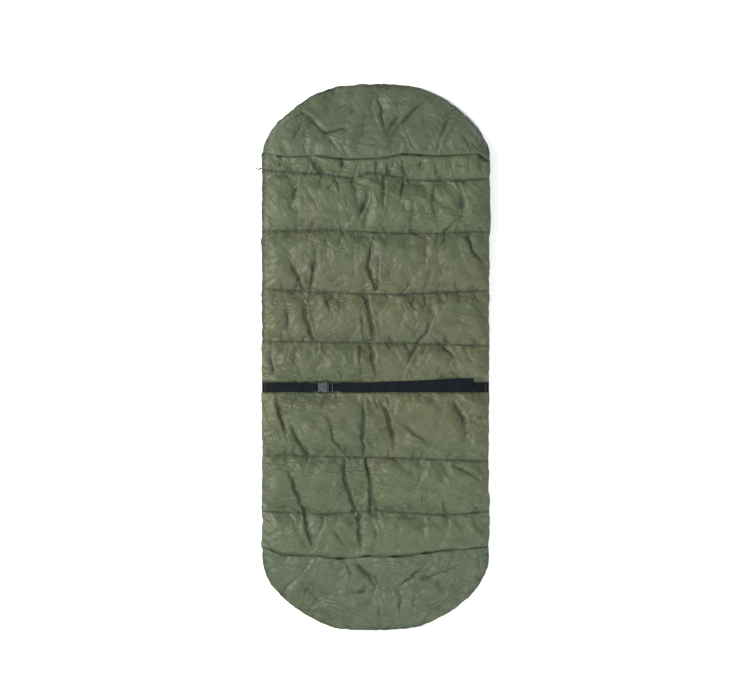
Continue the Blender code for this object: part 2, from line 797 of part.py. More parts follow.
def make_latch_arm(label, side, plastic):
    """A springy arm that turns a little about its root and catches in the waist."""
    outline = [(x, STRAP_Y + side * y) for x, y in ARM_OUTLINE]
    arm = as_mesh(outline_plate(f"latch_arm_{label}", [outline], BUCKLE_MID_Z, ARM_HEIGHT, plastic))
    move_origin(arm, (ARM_PIVOT_X, STRAP_Y + side * ARM_PIVOT_Y, BUCKLE_MID_Z))


def main():
    fabric = material("olive_fabric", OLIVE, 0.62)
    pocket_fabric = material("pocket_fabric", POCKET_GREEN, 0.62)
    lining = material("lining_fabric", LINING_GREEN, 0.80)
    wadding = material("polyester_wadding", WADDING, 0.95)
    webbing = material("black_webbing", BLACK, 0.70)
    plastic = material("grey_plastic", GREY, 0.45)
    tape = material("zip_tape", LINING_GREEN, 0.85)
    coil = material("zip_coil", BLACK, 0.50)
    steel = material("zip_metal", STEEL, 0.35, 0.9)
    make_cover(fabric, lining, wadding)
    make_side_gusset(fabric)
    make_draught_tube(lining)
    make_zip(tape, coil, steel)
    make_zip_slider(steel)
    make_zip_pull(steel)
    make_base(fabric, lining, wadding)
    make_pocket("head", HEAD_POCKET_Y, head_arc(0.0), pocket_fabric, fabric)
    make_pocket("foot", FOOT_POCKET_Y, foot_arc(0.0), pocket_fabric, fabric)
    make_straps(webbing, webbing)
    make_tail(webbing)
    make_housing(plastic)
    make_plug(plastic)
    make_latch_arm("upper", 1.0, plastic)
    make_latch_arm("lower", -1.0, plastic)


clear_scene()
parts = new_collection("bedchair_sleeping_bag", hidden=False)
cutters = new_collection("cutters", hidden=True)
main()
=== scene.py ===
import math

import bmesh
import bpy
import numpy as np
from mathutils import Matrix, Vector
from mathutils.bvhtree import BVHTree


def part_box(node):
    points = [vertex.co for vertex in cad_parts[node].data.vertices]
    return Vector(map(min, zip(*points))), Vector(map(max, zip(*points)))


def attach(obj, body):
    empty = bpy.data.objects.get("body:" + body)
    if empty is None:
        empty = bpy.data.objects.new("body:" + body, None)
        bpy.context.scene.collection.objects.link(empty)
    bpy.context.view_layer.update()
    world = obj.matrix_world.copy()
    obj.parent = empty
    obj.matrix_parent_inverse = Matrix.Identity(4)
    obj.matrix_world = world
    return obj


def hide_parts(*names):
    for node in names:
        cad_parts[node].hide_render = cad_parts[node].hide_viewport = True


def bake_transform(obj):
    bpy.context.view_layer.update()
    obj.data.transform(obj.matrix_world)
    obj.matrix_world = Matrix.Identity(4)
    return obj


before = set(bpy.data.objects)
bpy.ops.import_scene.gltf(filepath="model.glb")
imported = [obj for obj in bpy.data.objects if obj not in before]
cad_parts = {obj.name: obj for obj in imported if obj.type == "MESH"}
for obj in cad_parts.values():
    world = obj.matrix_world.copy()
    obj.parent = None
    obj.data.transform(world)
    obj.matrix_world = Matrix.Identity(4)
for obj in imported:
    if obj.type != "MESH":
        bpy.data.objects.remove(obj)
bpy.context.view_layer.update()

# The looks of a quilted bedchair sleeping bag, lying on its cover with the bedchair
# side up. X runs across the bag, Y towards the head, Z up, in metres.

# Plan and stack, as in the CAD model
HALF_WIDTH = 0.4485
HEAD_Y = 0.796
HEAD_RISE = 0.287
FOOT_Y = -0.776
FOOT_RISE = 0.308
COVER_HEM_Y = 0.762
BASE_UNDERSIDE_Z = 0.042
BASE_THICKNESS = 0.034
HEAD_UNDERSIDE_Z = 0.001
SLOPE_Y = (0.768, 0.908)
COVER_THICKNESS = 0.030
STRAP_Y = -0.122
STRAP_BEND = 0.4440
STRAP_END = 0.4505
WEBBING_WIDTH = 0.038
HEM_DEPTH = 0.025
TAIL_SKEW = 0.016
RELEASE_TRAVEL = 0.034
LACED_X = -0.203
LACED_WIDTH = 0.0312
WEBBING_THICKNESS = 0.0013
WEBBING_RIBS = 9.0
GRID = 0.0068
LINING_GRID = 0.012
CALM_Z = 0.0890
CEILING_ROOM = 0.0075
SEED = 7
HIDDEN_SEAMS_Y = (0.918, -0.843)
END_ARC = 1.17
SIDE_LENGTH = 1.572
BORDER = 0.03
SEAM_LEVEL = 0.62
RIM_LEVEL = 0.58
STRAP_BED_HALF = 0.0205
CRINKLE = 0.00045
FLOOR_GAP = 0.0004
BINDING_STEP = 0.006
BINDING_OUT = 0.0004
ZIP_INSET = 0.0010

HEAD_SEED = 110
FOOT_SEED = 120

# Seed and reach of the gathers in each quilt's outline
BASE_OUTLINE = (3, 0.0030)
COVER_OUTLINE = (23, 0.0022)

# How far the outline departs from straight sides and true half ellipses
SIDE_BULGE = 0.0050
END_BULGE = 0.0085

# A zip tooth's section as (out, up), and its pitch in half millimetres
TOOTH = ((-0.0009, -1.1), (0.0009, -1.1), (0.0009, 0.7), (0.0, 1.6), (-0.0009, 0.7))
TOOTH_PITCH = 5

SKIRT_TOP = 0.012
CAVITY_DEPTH = 0.0042
CAVITY_SHADE = 0.42
SHORTEST = 1e-9
FAR = 9.0

# Each seam of the base quilt as (x, y) points, from the foot to the head
SEAMS = (
    ((-0.45, -0.614), (-0.20, -0.626), (0.0, -0.610), (0.15, -0.622), (0.30, -0.628), (0.45, -0.614)),
    ((-0.45, -0.391), (0.0, -0.401), (0.45, -0.415)),
    ((-0.45, 0.061), (0.0, 0.053), (0.45, 0.043)),
    ((-0.45, 0.267), (-0.20, 0.253), (0.10, 0.245), (0.45, 0.262)),
    ((-0.45, 0.494), (-0.20, 0.501), (0.0, 0.491), (0.20, 0.486), (0.45, 0.495)),
    (
        (-0.45, 0.738), (-0.22, 0.722), (-0.08, 0.705), (-0.03, 0.729),
        (0.09, 0.712), (0.14, 0.697), (0.35, 0.697), (0.45, 0.707),
    ),
)

# Folds of the base quilt: depth, half width, and the points of the crease
BASE_FOLDS = (
    (0.009, 0.009, ((0.110, 0.805), (0.105, 0.755), (0.115, 0.715), (0.090, 0.585))),
    (0.008, 0.010, ((-0.128, 0.785), (-0.136, 0.738))),
    (0.007, 0.008, ((0.178, 0.783), (0.174, 0.735))),
    (0.005, 0.008, ((0.040, 0.782), (0.052, 0.735), (0.036, 0.712))),
    (0.005, 0.008, ((0.078, 0.785), (0.060, 0.728))),
    (0.003, 0.008, ((0.236, 0.765), (0.245, 0.702))),
    (0.005, 0.008, ((-0.070, 0.775), (-0.084, 0.712))),
    (0.004, 0.008, ((-0.255, 0.780), (-0.222, 0.728))),
    (0.004, 0.008, ((-0.390, 0.770), (-0.330, 0.735))),
    (0.004, 0.008, ((0.300, 0.765), (0.400, 0.738))),
    (0.008, 0.009, ((0.035, 0.715), (0.030, 0.570))),
    (0.004, 0.010, ((0.235, 0.680), (0.225, 0.610), (0.245, 0.510))),
    (0.009, 0.012, ((0.340, 0.640), (0.345, 0.570))),
    (0.005, 0.009, ((0.340, 0.560), (0.235, 0.460))),
    (0.008, 0.010, ((-0.020, 0.675), (-0.065, 0.540))),
    (0.005, 0.009, ((-0.165, 0.695), (-0.200, 0.650))),
    (0.009, 0.014, ((-0.305, 0.690), (-0.320, 0.650), (-0.330, 0.600))),
    (0.005, 0.009, ((-0.160, 0.705), (-0.135, 0.640))),
    (0.009, 0.012, ((-0.350, 0.390), (-0.285, 0.260))),
    (0.008, 0.014, ((-0.235, 0.415), (-0.260, 0.275))),
    (0.005, 0.009, ((-0.135, 0.325), (-0.180, 0.285))),
    (0.007, 0.012, ((-0.010, 0.460), (-0.030, 0.360), (0.000, 0.265))),
    (0.006, 0.010, ((0.010, 0.450), (0.005, 0.265))),
    (0.007, 0.012, ((0.365, 0.470), (0.385, 0.415), (0.435, 0.360))),
    (0.009, 0.010, ((-0.285, 0.235), (-0.275, 0.150), (-0.250, 0.065))),
    (0.007, 0.012, ((-0.355, 0.205), (-0.345, 0.085))),
    (0.009, 0.012, ((-0.035, 0.230), (-0.020, 0.150), (-0.010, 0.065))),
    (0.005, 0.009, ((-0.060, 0.185), (-0.045, 0.065))),
    (0.008, 0.012, ((0.240, 0.175), (0.210, 0.115), (0.160, 0.045), (0.105, -0.070))),
    (0.006, 0.009, ((-0.195, 0.235), (-0.180, 0.185))),
    (0.008, 0.009, ((-0.420, 0.025), (-0.400, -0.095))),
    (0.005, 0.009, ((-0.060, 0.040), (-0.060, -0.095))),
    (0.008, 0.014, ((-0.025, 0.055), (-0.010, -0.020), (0.000, -0.095))),
    (0.005, 0.012, ((0.250, 0.055), (0.330, -0.015))),
    (0.005, 0.012, ((0.400, -0.015), (0.445, -0.055))),
    (0.011, 0.011, ((-0.392, -0.145), (-0.380, -0.230), (-0.350, -0.335))),
    (0.010, 0.011, ((-0.350, -0.235), (-0.310, -0.330), (-0.270, -0.390), (-0.278, -0.455))),
    (0.006, 0.010, ((-0.195, -0.215), (-0.165, -0.335), (-0.120, -0.390))),
    (0.008, 0.010, ((-0.045, -0.150), (-0.050, -0.390))),
    (0.006, 0.009, ((-0.010, -0.145), (0.015, -0.225))),
    (0.012, 0.012, ((0.015, -0.160), (0.050, -0.250), (0.078, -0.370))),
    (0.006, 0.012, ((0.090, -0.255), (0.210, -0.350))),
    (0.009, 0.014, ((0.300, -0.160), (0.345, -0.245), (0.360, -0.310))),
    (0.010, 0.011, ((-0.345, -0.450), (-0.305, -0.565), (-0.280, -0.620))),
    (0.010, 0.011, ((-0.125, -0.410), (-0.120, -0.490), (-0.080, -0.615))),
    (0.009, 0.010, ((-0.038, -0.405), (-0.022, -0.500), (-0.020, -0.615))),
    (0.006, 0.016, ((0.310, -0.430), (0.445, -0.510))),
    (0.009, 0.010, ((-0.285, -0.625), (-0.245, -0.775))),
    (0.006, 0.010, ((-0.180, -0.670), (-0.105, -0.775))),
    (0.008, 0.010, ((-0.068, -0.625), (-0.060, -0.775))),
    (0.006, 0.009, ((-0.010, -0.645), (0.010, -0.745))),
)
HEAD_FOLDS = (
    (0.006, 0.014, ((-0.405, 0.895), (-0.290, 0.970), (-0.195, 0.885), (-0.125, 0.905))),
    (0.005, 0.012, ((-0.185, 1.055), (-0.235, 0.980))),
    (0.005, 0.012, ((-0.285, 0.955), (-0.330, 0.835))),
    (0.007, 0.014, ((0.010, 1.045), (0.030, 0.915), (0.040, 0.885))),
    (0.007, 0.014, ((0.110, 0.985), (0.040, 0.885))),
    (0.006, 0.014, ((0.215, 1.035), (0.160, 0.985), (0.090, 0.915), (0.065, 0.880))),
    (0.005, 0.012, ((0.320, 0.970), (0.275, 0.925), (0.255, 0.855), (0.240, 0.800))),
    (0.005, 0.012, ((0.340, 0.885), (0.375, 0.815))),
)
FOOT_FOLDS = (
    (0.006, 0.012, ((-0.120, -0.810), (-0.085, -0.885))),
    (0.007, 0.014, ((-0.065, -0.830), (0.020, -0.920))),
    (0.007, 0.014, ((0.210, -0.805), (0.140, -0.875), (0.070, -0.920))),
    (0.005, 0.014, ((0.365, -0.805), (0.270, -0.850), (0.170, -0.885))),
    (0.005, 0.014, ((-0.305, -0.885), (-0.225, -0.970), (-0.165, -1.040))),
    (0.006, 0.012, ((-0.105, -0.940), (0.005, -0.915))),
    (0.006, 0.010, ((0.015, -0.960), (0.015, -1.065))),
    (0.005, 0.010, ((0.095, -0.930), (0.095, -1.065))),
)

# Where each hem stands open, as x of the gaps
HEAD_GAPS = (-0.382, -0.134, 0.112, 0.174, 0.425)
FOOT_GAPS = (-0.142, -0.035, 0.075, 0.200)
STRAP_LINES = (((-0.45, -0.102), (0.45, -0.102)), ((-0.45, -0.142), (0.45, -0.142)))

# The pockets' open hems, as (x, y) points
HEAD_HEM = (
    (-0.450, 0.806), (-0.438, 0.809), (-0.395, 0.798), (-0.344, 0.792), (-0.225, 0.796),
    (-0.126, 0.784), (0.012, 0.784), (0.111, 0.804), (0.249, 0.796), (0.407, 0.804),
    (0.446, 0.772), (0.450, 0.771),
)
FOOT_HEM = (
    (-0.450, -0.758), (-0.431, -0.760), (-0.363, -0.788), (-0.225, -0.792), (-0.146, -0.804),
    (-0.020, -0.792), (0.071, -0.796), (0.209, -0.780), (0.249, -0.772), (0.450, -0.756),
)


# How a crease is shaped: reach of its two sides as shares of its half width, its valley and
# ridge as shares of its depth, its line's width, the depth that makes its line full, how far
# from a seam its end is free, and the share of its length over which a free end runs out
STEEP_SIDE = 0.50
GENTLE_SIDE = 2.10
VALLEY_SHARE = 0.95
RIDGE_SHARE = 0.50
LINE_WIDTH = 0.0024
FULL_DEPTH = 0.008
FREE_END = 0.022
RUN_OUT = 0.42

# The cloth's facets and fine wrinkles, two kinds of each: size, number added to the seed,
# stretch and turn
FACETS = ((0.066, 3, 2.2, 1.25), (0.060, 4, 2.4, -0.55))
FINE_WRINKLES = ((0.024, 5, 3.2, 0.25), (0.022, 6, 3.0, -1.0))
MEAN_CRUMPLE = 0.66
FACET_HEIGHT = 28.0
WRINKLE_HEIGHT = 7.5


# Number helpers


def smooth(value):
    value = np.clip(value, 0.0, 1.0)
    return value * value * (3.0 - 2.0 * value)


def hill(offset, width):
    """A bell of height 1."""
    return np.exp(-((offset / width) ** 2))


def between(pick, fu, fv):
    """Value inside a cell from the values that pick gives for its four corners."""
    low = pick(0, 0) * (1 - fu) + pick(1, 0) * fu
    high = pick(0, 1) * (1 - fu) + pick(1, 1) * fu
    return low * (1 - fv) + high * fv


def noise(x, y, size, seed):
    """Smooth random heights from -1 to 1 on a lattice of the given cell size."""
    cells = 256
    table = np.random.RandomState(seed).uniform(-1.0, 1.0, (cells, cells))
    u, v = np.asarray(x) / size + 97.3, np.asarray(y) / size + 41.7
    iu, iv = np.floor(u).astype(int), np.floor(v).astype(int)
    fu, fv = smooth(u - iu), smooth(v - iv)
    return between(lambda du, dv: table[(iu + du) % cells, (iv + dv) % cells], fu, fv)


def fold_place(x, y, points):
    """Signed distance of points of the plan from a crease, and how far along it they are, 0 to 1."""
    lengths = [math.dist(first, second) for first, second in zip(points[:-1], points[1:])]
    best = np.full(np.shape(x), FAR)
    side = np.ones(np.shape(x))
    place = np.zeros(np.shape(x))
    done = 0.0
    for (x0, y0), (x1, y1), length in zip(points[:-1], points[1:], lengths):
        dx, dy = x1 - x0, y1 - y0
        t = np.clip(((x - x0) * dx + (y - y0) * dy) / (dx * dx + dy * dy), 0.0, 1.0)
        away = np.hypot(x - x0 - t * dx, y - y0 - t * dy)
        closer = away < best
        side = np.where(closer, np.sign((x - x0) * dy - (y - y0) * dx), side)
        place = np.where(closer, (done + t * length) / sum(lengths), place)
        best = np.minimum(best, away)
        done += length
    return best * side, place


def fold_relief(x, y, folds):
    """Height change of all creases and their lines, from 0 to 1.

    A crease is a sharp valley with a ridge beside it. It is held open where it meets a seam
    and runs out at its free ends.
    """
    relief = np.zeros(np.shape(x))
    line = np.zeros(np.shape(x))
    wander_x = x + 0.004 * noise(x, y, 0.028, 5)
    wander_y = y + 0.003 * noise(x, y, 0.022, 6)
    for number, (depth, half, points) in enumerate(folds):
        away, place = fold_place(wander_x, wander_y, points)
        away = away * (1.0 if number % 2 else -1.0)
        strength = np.ones(np.shape(x))
        for end, from_end in ((points[0], place), (points[-1], 1.0 - place)):
            if seam_distance(*end) > FREE_END:
                strength = strength * (0.12 + 0.88 * smooth(from_end / RUN_OUT))
        deep = depth * strength
        broad = half * (0.55 + 0.45 * strength)
        reach = broad * np.where(away > 0.0, STEEP_SIDE, GENTLE_SIDE)
        relief -= VALLEY_SHARE * deep * np.exp(-np.abs(away) / reach)
        relief += RIDGE_SHARE * deep * hill(away - 1.4 * broad, 0.8 * broad)
        width = LINE_WIDTH + 0.32 * deep
        line = np.maximum(line, np.minimum(deep / FULL_DEPTH, 1.0) * hill(away, width))
    return relief, line


def small_folds(seed, count, lines, lean, span):
    """Short shallow creases that start at a line of the bag and run a little way across."""
    random = np.random.RandomState(seed)
    made = []
    for _ in range(count):
        line = lines[random.randint(len(lines))]
        x = random.uniform(-0.42, 0.42)
        y = seam_at(line, x)
        way = random.choice((-1.0, 1.0))
        length = span * random.uniform(0.35, 1.0)
        tilt = random.normal(0.0, lean)
        middle = (x + 0.5 * length * tilt + random.normal(0.0, 0.006), y + 0.5 * way * length)
        end = (x + length * tilt, y + way * length)
        made.append((random.uniform(0.0022, 0.0050), random.uniform(0.006, 0.010), ((x, y), middle, end)))
    return made


def crumple(x, y, size, seed, stretch, turn=0.0):
    """Flat facets that meet in sharp creases, like thin cloth that was folded up; 0 to 1."""
    c, s = math.cos(turn), math.sin(turn)
    u, v = (x * c + y * s) / (size * stretch) + 53.0, (y * c - x * s) / size + 71.0
    u = u + 0.25 * noise(u, v, 0.9, seed + 70)
    v = v + 0.25 * noise(u, v, 0.9, seed + 71)
    cells, furthest, sharpness = 128, 1.2, 1.4
    jitter = np.random.RandomState(seed).uniform(0.0, 1.0, (cells, cells, 2))
    iu, iv = np.floor(u).astype(int), np.floor(v).astype(int)
    nearest = np.full(np.shape(x), FAR)
    for du in (-1, 0, 1):
        for dv in (-1, 0, 1):
            site = jitter[(iu + du) % cells, (iv + dv) % cells]
            away = np.hypot(iu + du + site[..., 0] - u, iv + dv + site[..., 1] - v)
            nearest = np.minimum(nearest, away)
    return 1.0 - (np.minimum(nearest, furthest) / furthest) ** sharpness


# Plan of the bag


def along_ends(y):
    """0 along the straight sides, up to 1 at the head's tip and down to -1 at the foot's."""
    return np.maximum(y - HEAD_Y, 0.0) / HEAD_RISE - np.maximum(FOOT_Y - y, 0.0) / FOOT_RISE


def warp(x, y, gathers=BASE_OUTLINE):
    """Push the outline in and out where its seam is gathered; the middle stays where it is."""
    seed, reach = gathers
    along = along_ends(y)
    radius = np.maximum(np.hypot(x / HALF_WIDTH, along), 1e-6)
    share = smooth((radius - 0.72) / 0.28)
    waves = noise(x, y, 0.045, seed) + 0.5 * noise(x, y, 0.045 * 0.45, seed + 9)
    out = reach * (waves + 0.45 * noise(x, y, 0.012, seed + 30))
    right = smooth((x - 0.25) / 0.15)
    out = out + right * SIDE_BULGE * hill(y - 0.62, 0.17)
    left = smooth((-x - 0.40) / 0.04)
    out = out + left * SIDE_BULGE * hill(y - 0.797, 0.012)
    tip = smooth((np.abs(along) - 0.5) / 0.3)
    out = out + END_BULGE * tip * hill(np.abs(x) - 0.17, 0.07)
    shoulder = smooth((along - 0.1) / 0.2)
    out = out - END_BULGE * shoulder * hill(np.abs(x) - 0.36, 0.07)
    return x + share * out * (x / HALF_WIDTH) / radius, y + share * out * along / radius


def cap_grid(u, v, centre_y, rise):
    """A half ellipse filled with rows that stay evenly spaced, v from 0 to 1."""
    return u * np.sqrt(1.0 - v * v / 2.0) * HALF_WIDTH, centre_y + rise * v * np.sqrt(1.0 - u * u / 2.0)


def columns(step):
    count = int(round(HALF_WIDTH / step)) * 2
    return np.linspace(-1.0, 1.0, count + 1)


def side_rows(marks, step):
    """All rows between marks, each mark the y of one line at every column."""
    rows = [marks[0]]
    at = [0]
    for low, high in zip(marks[:-1], marks[1:]):
        count = max(int(round(np.mean(high - low) / step)), 1)
        rows += [low + (high - low) * share for share in np.arange(1, count + 1) / count]
        at.append(len(rows) - 1)
    return np.array(rows), at


def cap_rows(u, centre_y, rise, step):
    count = int(round(abs(rise) / step))
    return cap_grid(u[None, :], (np.arange(1, count + 1) / count)[:, None], centre_y, rise)


def edge_distance(x, y):
    along = along_ends(y)
    reach = np.minimum(np.hypot(x / HALF_WIDTH, along), 1.0)
    return (1.0 - reach) * (HALF_WIDTH + (HEAD_RISE - HALF_WIDTH) * np.abs(along))


def base_underside(y):
    share = smooth((y - SLOPE_Y[0]) / (SLOPE_Y[1] - SLOPE_Y[0]))
    return BASE_UNDERSIDE_Z + (HEAD_UNDERSIDE_Z - BASE_UNDERSIDE_Z) * share


def seam_at(seam, x):
    """The y of a seam or a hem at each x."""
    xs, ys = zip(*seam)
    return np.interp(x, xs, ys)


def seam_distance(x, y):
    lines = [np.abs(y - seam_at(seam, x)) for seam in SEAMS]
    lines += [np.abs(y - place) for place in HIDDEN_SEAMS_Y]
    return np.min(lines, axis=0)


def base_top(x, y):
    """Smooth top of the base quilt before its folds."""
    edge = 0.60 + 0.40 * np.sqrt(smooth(edge_distance(x, y) / 0.06))
    from_seam = np.minimum(seam_distance(x, y), np.maximum(np.abs(y - STRAP_Y) - 0.012, 0.0))
    puff = 0.66 + 0.34 * np.sqrt(smooth(from_seam / 0.075))
    return base_underside(y) + BASE_THICKNESS * puff * edge


def bed_height(x):
    """The flattened bed of the strap."""
    x = np.asarray(x, float)
    top = base_top(x, np.full(x.shape, STRAP_Y))
    return np.minimum(top, BASE_UNDERSIDE_Z + BASE_THICKNESS * 0.70)


def cover_top(x, y):
    """Smooth lining side of the cover quilt."""
    edge = smooth(np.minimum(edge_distance(x, y), COVER_HEM_Y - y) / 0.045)
    puff = 0.70 + 0.30 * np.sqrt(smooth(seam_distance(x, y) / 0.075))
    return COVER_THICKNESS * puff * (0.50 + 0.50 * edge)


def pocket_top(x, y, toward_head):
    """Smooth top of a bedchair pocket, held at its outline and drawn tight at its hem."""
    under = base_underside(y)
    rim = under + BASE_THICKNESS * RIM_LEVEL + 0.004
    if toward_head:
        span = 0.0800 - 0.0370 * smooth((y - 0.79) / 0.29)
    else:
        span = 0.0825 - 0.0090 * smooth((FOOT_Y - y) / 0.30)
    return rim + (span - rim) * np.sqrt(smooth(edge_distance(x, y) / 0.055))


def outline(step, gathers=BASE_OUTLINE):
    """Points round the bag from the right foot corner, anticlockwise, with outward normals.

    gathers is their seed and reach, or None for a plain outline.
    """
    arc_points, side_points = int(END_ARC / step), int(SIDE_LENGTH / step)
    arc = np.pi * np.arange(0, arc_points) / arc_points
    side = np.arange(0, side_points) / side_points
    up = FOOT_Y + side * (HEAD_Y - FOOT_Y)
    down = HEAD_Y - side * (HEAD_Y - FOOT_Y)
    head = (HALF_WIDTH * np.cos(arc), HEAD_Y + HEAD_RISE * np.sin(arc))
    foot = (-HALF_WIDTH * np.cos(arc), FOOT_Y - FOOT_RISE * np.sin(arc))
    x = np.concatenate([np.full(up.shape, HALF_WIDTH), head[0], np.full(down.shape, -HALF_WIDTH), foot[0]])
    y = np.concatenate([up, head[1], down, foot[1]])
    if gathers:
        x, y = warp(x, y, gathers)
    dx, dy = np.roll(x, -1) - np.roll(x, 1), np.roll(y, -1) - np.roll(y, 1)
    size = np.hypot(dx, dy)
    return x, y, dy / size, -dx / size


# Meshes


def mesh_piece(name, verts, faces, look, smooth_shaded=True):
    data = bpy.data.meshes.new(name)
    data.from_pydata(np.asarray(verts, float).tolist(), [], faces)
    data.update()
    if smooth_shaded:
        data.shade_smooth()
    obj = bpy.data.objects.new(name, data)
    bpy.context.scene.collection.objects.link(obj)
    data.materials.append(look)
    return obj


def grid_faces(rows, cols, flip=False, start=0, close_rows=False, close_cols=False):
    index = start + np.arange(rows * cols).reshape(rows, cols)
    if close_rows:
        index = np.vstack([index, index[:1]])
    if close_cols:
        index = np.hstack([index, index[:, :1]])
    quads = np.stack([index[:-1, :-1], index[:-1, 1:], index[1:, 1:], index[1:, :-1]], axis=-1)
    quads = quads.reshape(-1, 4)
    return (quads[:, ::-1] if flip else quads).tolist()


def read_points(obj):
    co = np.empty(len(obj.data.vertices) * 3, np.float32)
    obj.data.vertices.foreach_get("co", co)
    return co.reshape(-1, 3).astype(float)


def write_points(obj, points):
    obj.data.vertices.foreach_set("co", np.asarray(points, np.float32).ravel())
    obj.data.update()


def write_shadow(obj, values):
    """Store the painted shade of each point, how deep in a fold, hollow, seam or shadow it lies, for the
    fabric's colour.
    """
    layer = obj.data.attributes.new("fold_shadow", "FLOAT", "POINT")
    layer.data.foreach_set("value", np.clip(values, 0.0, 1.0).astype(np.float32))


def write_no_shadow(obj):
    write_shadow(obj, np.zeros(len(obj.data.vertices)))


def cavity(points):
    """How far each point lies below the cloth round it, in metres."""
    cell, reach = 0.009, 2
    place = (points[:, :2] - points[:, :2].min(axis=0)) / cell
    shape = tuple(np.ceil(place.max(axis=0)).astype(int) + 2)
    corner = np.floor(place).astype(int)
    flat = np.ravel_multi_index(corner.T, shape)
    size = shape[0] * shape[1]
    total = np.bincount(flat, points[:, 2], size).reshape(shape)
    count = np.bincount(flat, minlength=size).reshape(shape).astype(float)
    spread = [np.pad(grid, reach + 1) for grid in (total, count)]
    steps = range(-reach, reach + 1)
    spread = [sum(np.roll(grid, (i, j), (0, 1)) for i in steps for j in steps) for grid in spread]
    mean = spread[0] / np.maximum(spread[1], 1.0)
    share = place - 0.5 + reach + 1
    low = np.floor(share).astype(int)
    fu, fv = (share - low).T
    return between(lambda du, dv: mean[low[:, 0] + du, low[:, 1] + dv], fu, fv) - points[:, 2]


CLOTH = {
    "quality": 4,
    "mass": 0.3,
    "tension_stiffness": 15,
    "compression_stiffness": 15,
    "shear_stiffness": 5,
    "bending_stiffness": 0.05,
    "tension_damping": 8,
    "compression_damping": 8,
    "shear_damping": 8,
    "bending_damping": 0.5,
    "air_damping": 3,
    "vertex_group_mass": "pins",
    "pin_stiffness": 1.0,
    "use_pressure": True,
}


def apply_modifiers(obj):
    bpy.context.view_layer.objects.active = obj
    for modifier in list(obj.modifiers):
        bpy.ops.object.modifier_apply(modifier=modifier.name)


def subdivide(obj):
    modifier = obj.modifiers.new("Subdivision", "SUBSURF")
    modifier.levels = 1
    modifier.render_levels = 1
    apply_modifiers(obj)


def simulate(obj, pins, growth, pressure, frames, limit):
    """Let a sheet that is cut a little too large puff up between its pinned stitches."""
    before = read_points(obj)
    group = obj.vertex_groups.new(name="pins")
    for weight in np.unique(pins[pins > 0.0]):
        group.add(np.flatnonzero(pins.ravel() == weight).tolist(), float(weight), "REPLACE")
    cloth = obj.modifiers.new("Cloth", "CLOTH")
    for name, value in CLOTH.items():
        setattr(cloth.settings, name, value)
    cloth.settings.effector_weights.gravity = 0.0
    cloth.settings.shrink_min = -growth
    cloth.settings.uniform_pressure_force = pressure
    cloth.collision_settings.use_collision = False
    cloth.point_cache.frame_start = 1
    cloth.point_cache.frame_end = frames
    for number in range(1, frames + 1):
        bpy.context.scene.frame_set(number)
    apply_modifiers(obj)
    bpy.context.scene.frame_set(1)
    obj.vertex_groups.clear()
    moved = read_points(obj) - before
    size = np.linalg.norm(moved, axis=1, keepdims=True)
    write_points(obj, before + moved * np.minimum(1.0, limit / np.maximum(size, SHORTEST)))


def two_crumples(x, y, seed, kinds, patch):
    """The first kind of crumple where patch is 1 and the second where it is 0."""
    first, second = [crumple(x, y, size, seed + add, *shape) for size, add, *shape in kinds]
    return first * patch + second * (1.0 - patch)


def crinkle(points, amount, seed, seams=None):
    """Facets and fine wrinkles of thin fabric over wadding, and puckers along its stitching."""
    x, y = points[:, 0], points[:, 1]
    patch = smooth(0.5 + 0.9 * noise(x, y, 0.16, seed + 20))
    facets = two_crumples(x, y, seed, FACETS, patch) - MEAN_CRUMPLE
    fine = two_crumples(x, y, seed, FINE_WRINKLES, patch) - MEAN_CRUMPLE
    points[:, 2] += amount * (FACET_HEIGHT * facets + WRINKLE_HEIGHT * fine)
    at_head_hem = smooth((y - 0.69) / 0.03) * smooth((0.80 - y) / 0.02)
    points[:, 2] += at_head_hem * amount * 8.0 * (crumple(x, y, 0.026, seed + 7, 0.38, 0.1) - 0.6)
    if seams is not None:
        near = np.exp(-seams / 0.014)
        points[:, 2] += 3.0 * amount * near * (crumple(x, y, 0.020, seed + 2, 0.6) - 0.5)


def sweep(name, path, profile, look, closed=True):
    """Carry a profile of (out, up) points along a path of x, y, normal and height."""
    x, y, nx, ny, z = path
    prof = np.asarray(profile, float)
    out, up = prof[..., 0], prof[..., 1]
    px = x[:, None] + nx[:, None] * out
    py = y[:, None] + ny[:, None] * out
    pz = z[:, None] + up + np.zeros(px.shape)
    verts = np.stack([px, py, pz], -1).reshape(-1, 3)
    rows, cols = px.shape
    faces = grid_faces(rows, cols, close_rows=closed, close_cols=True)
    if not closed:
        faces.append(list(range(cols)))
        faces.append(list(range((rows - 1) * cols, rows * cols))[::-1])
    obj = mesh_piece(name, verts, faces, look)
    fix_normals(obj)
    return obj


def fix_normals(obj):
    bm = bmesh.new()
    bm.from_mesh(obj.data)
    bmesh.ops.recalc_face_normals(bm, faces=bm.faces)
    bm.to_mesh(obj.data)
    bm.free()


def rounded(width, height, steps, low, power):
    """A soft rounded section, width out from the middle and height up from low."""
    turn = np.linspace(0.0, 2.0 * np.pi, 4 * steps, endpoint=False)
    side = np.sign(np.cos(turn)) * np.abs(np.cos(turn)) ** power
    rise = np.sign(np.sin(turn)) * np.abs(np.sin(turn)) ** power
    return np.stack([side * width / 2, low + height / 2 + rise * height / 2], -1)


def surface_of(obj):
    return BVHTree.FromObject(obj, bpy.context.evaluated_depsgraph_get())


def drop(tree, x, y, fallback):
    hit = tree.ray_cast(Vector((float(x), float(y), 0.3)), Vector((0.0, 0.0, -1.0)))
    return hit[0].z if hit[0] is not None else fallback


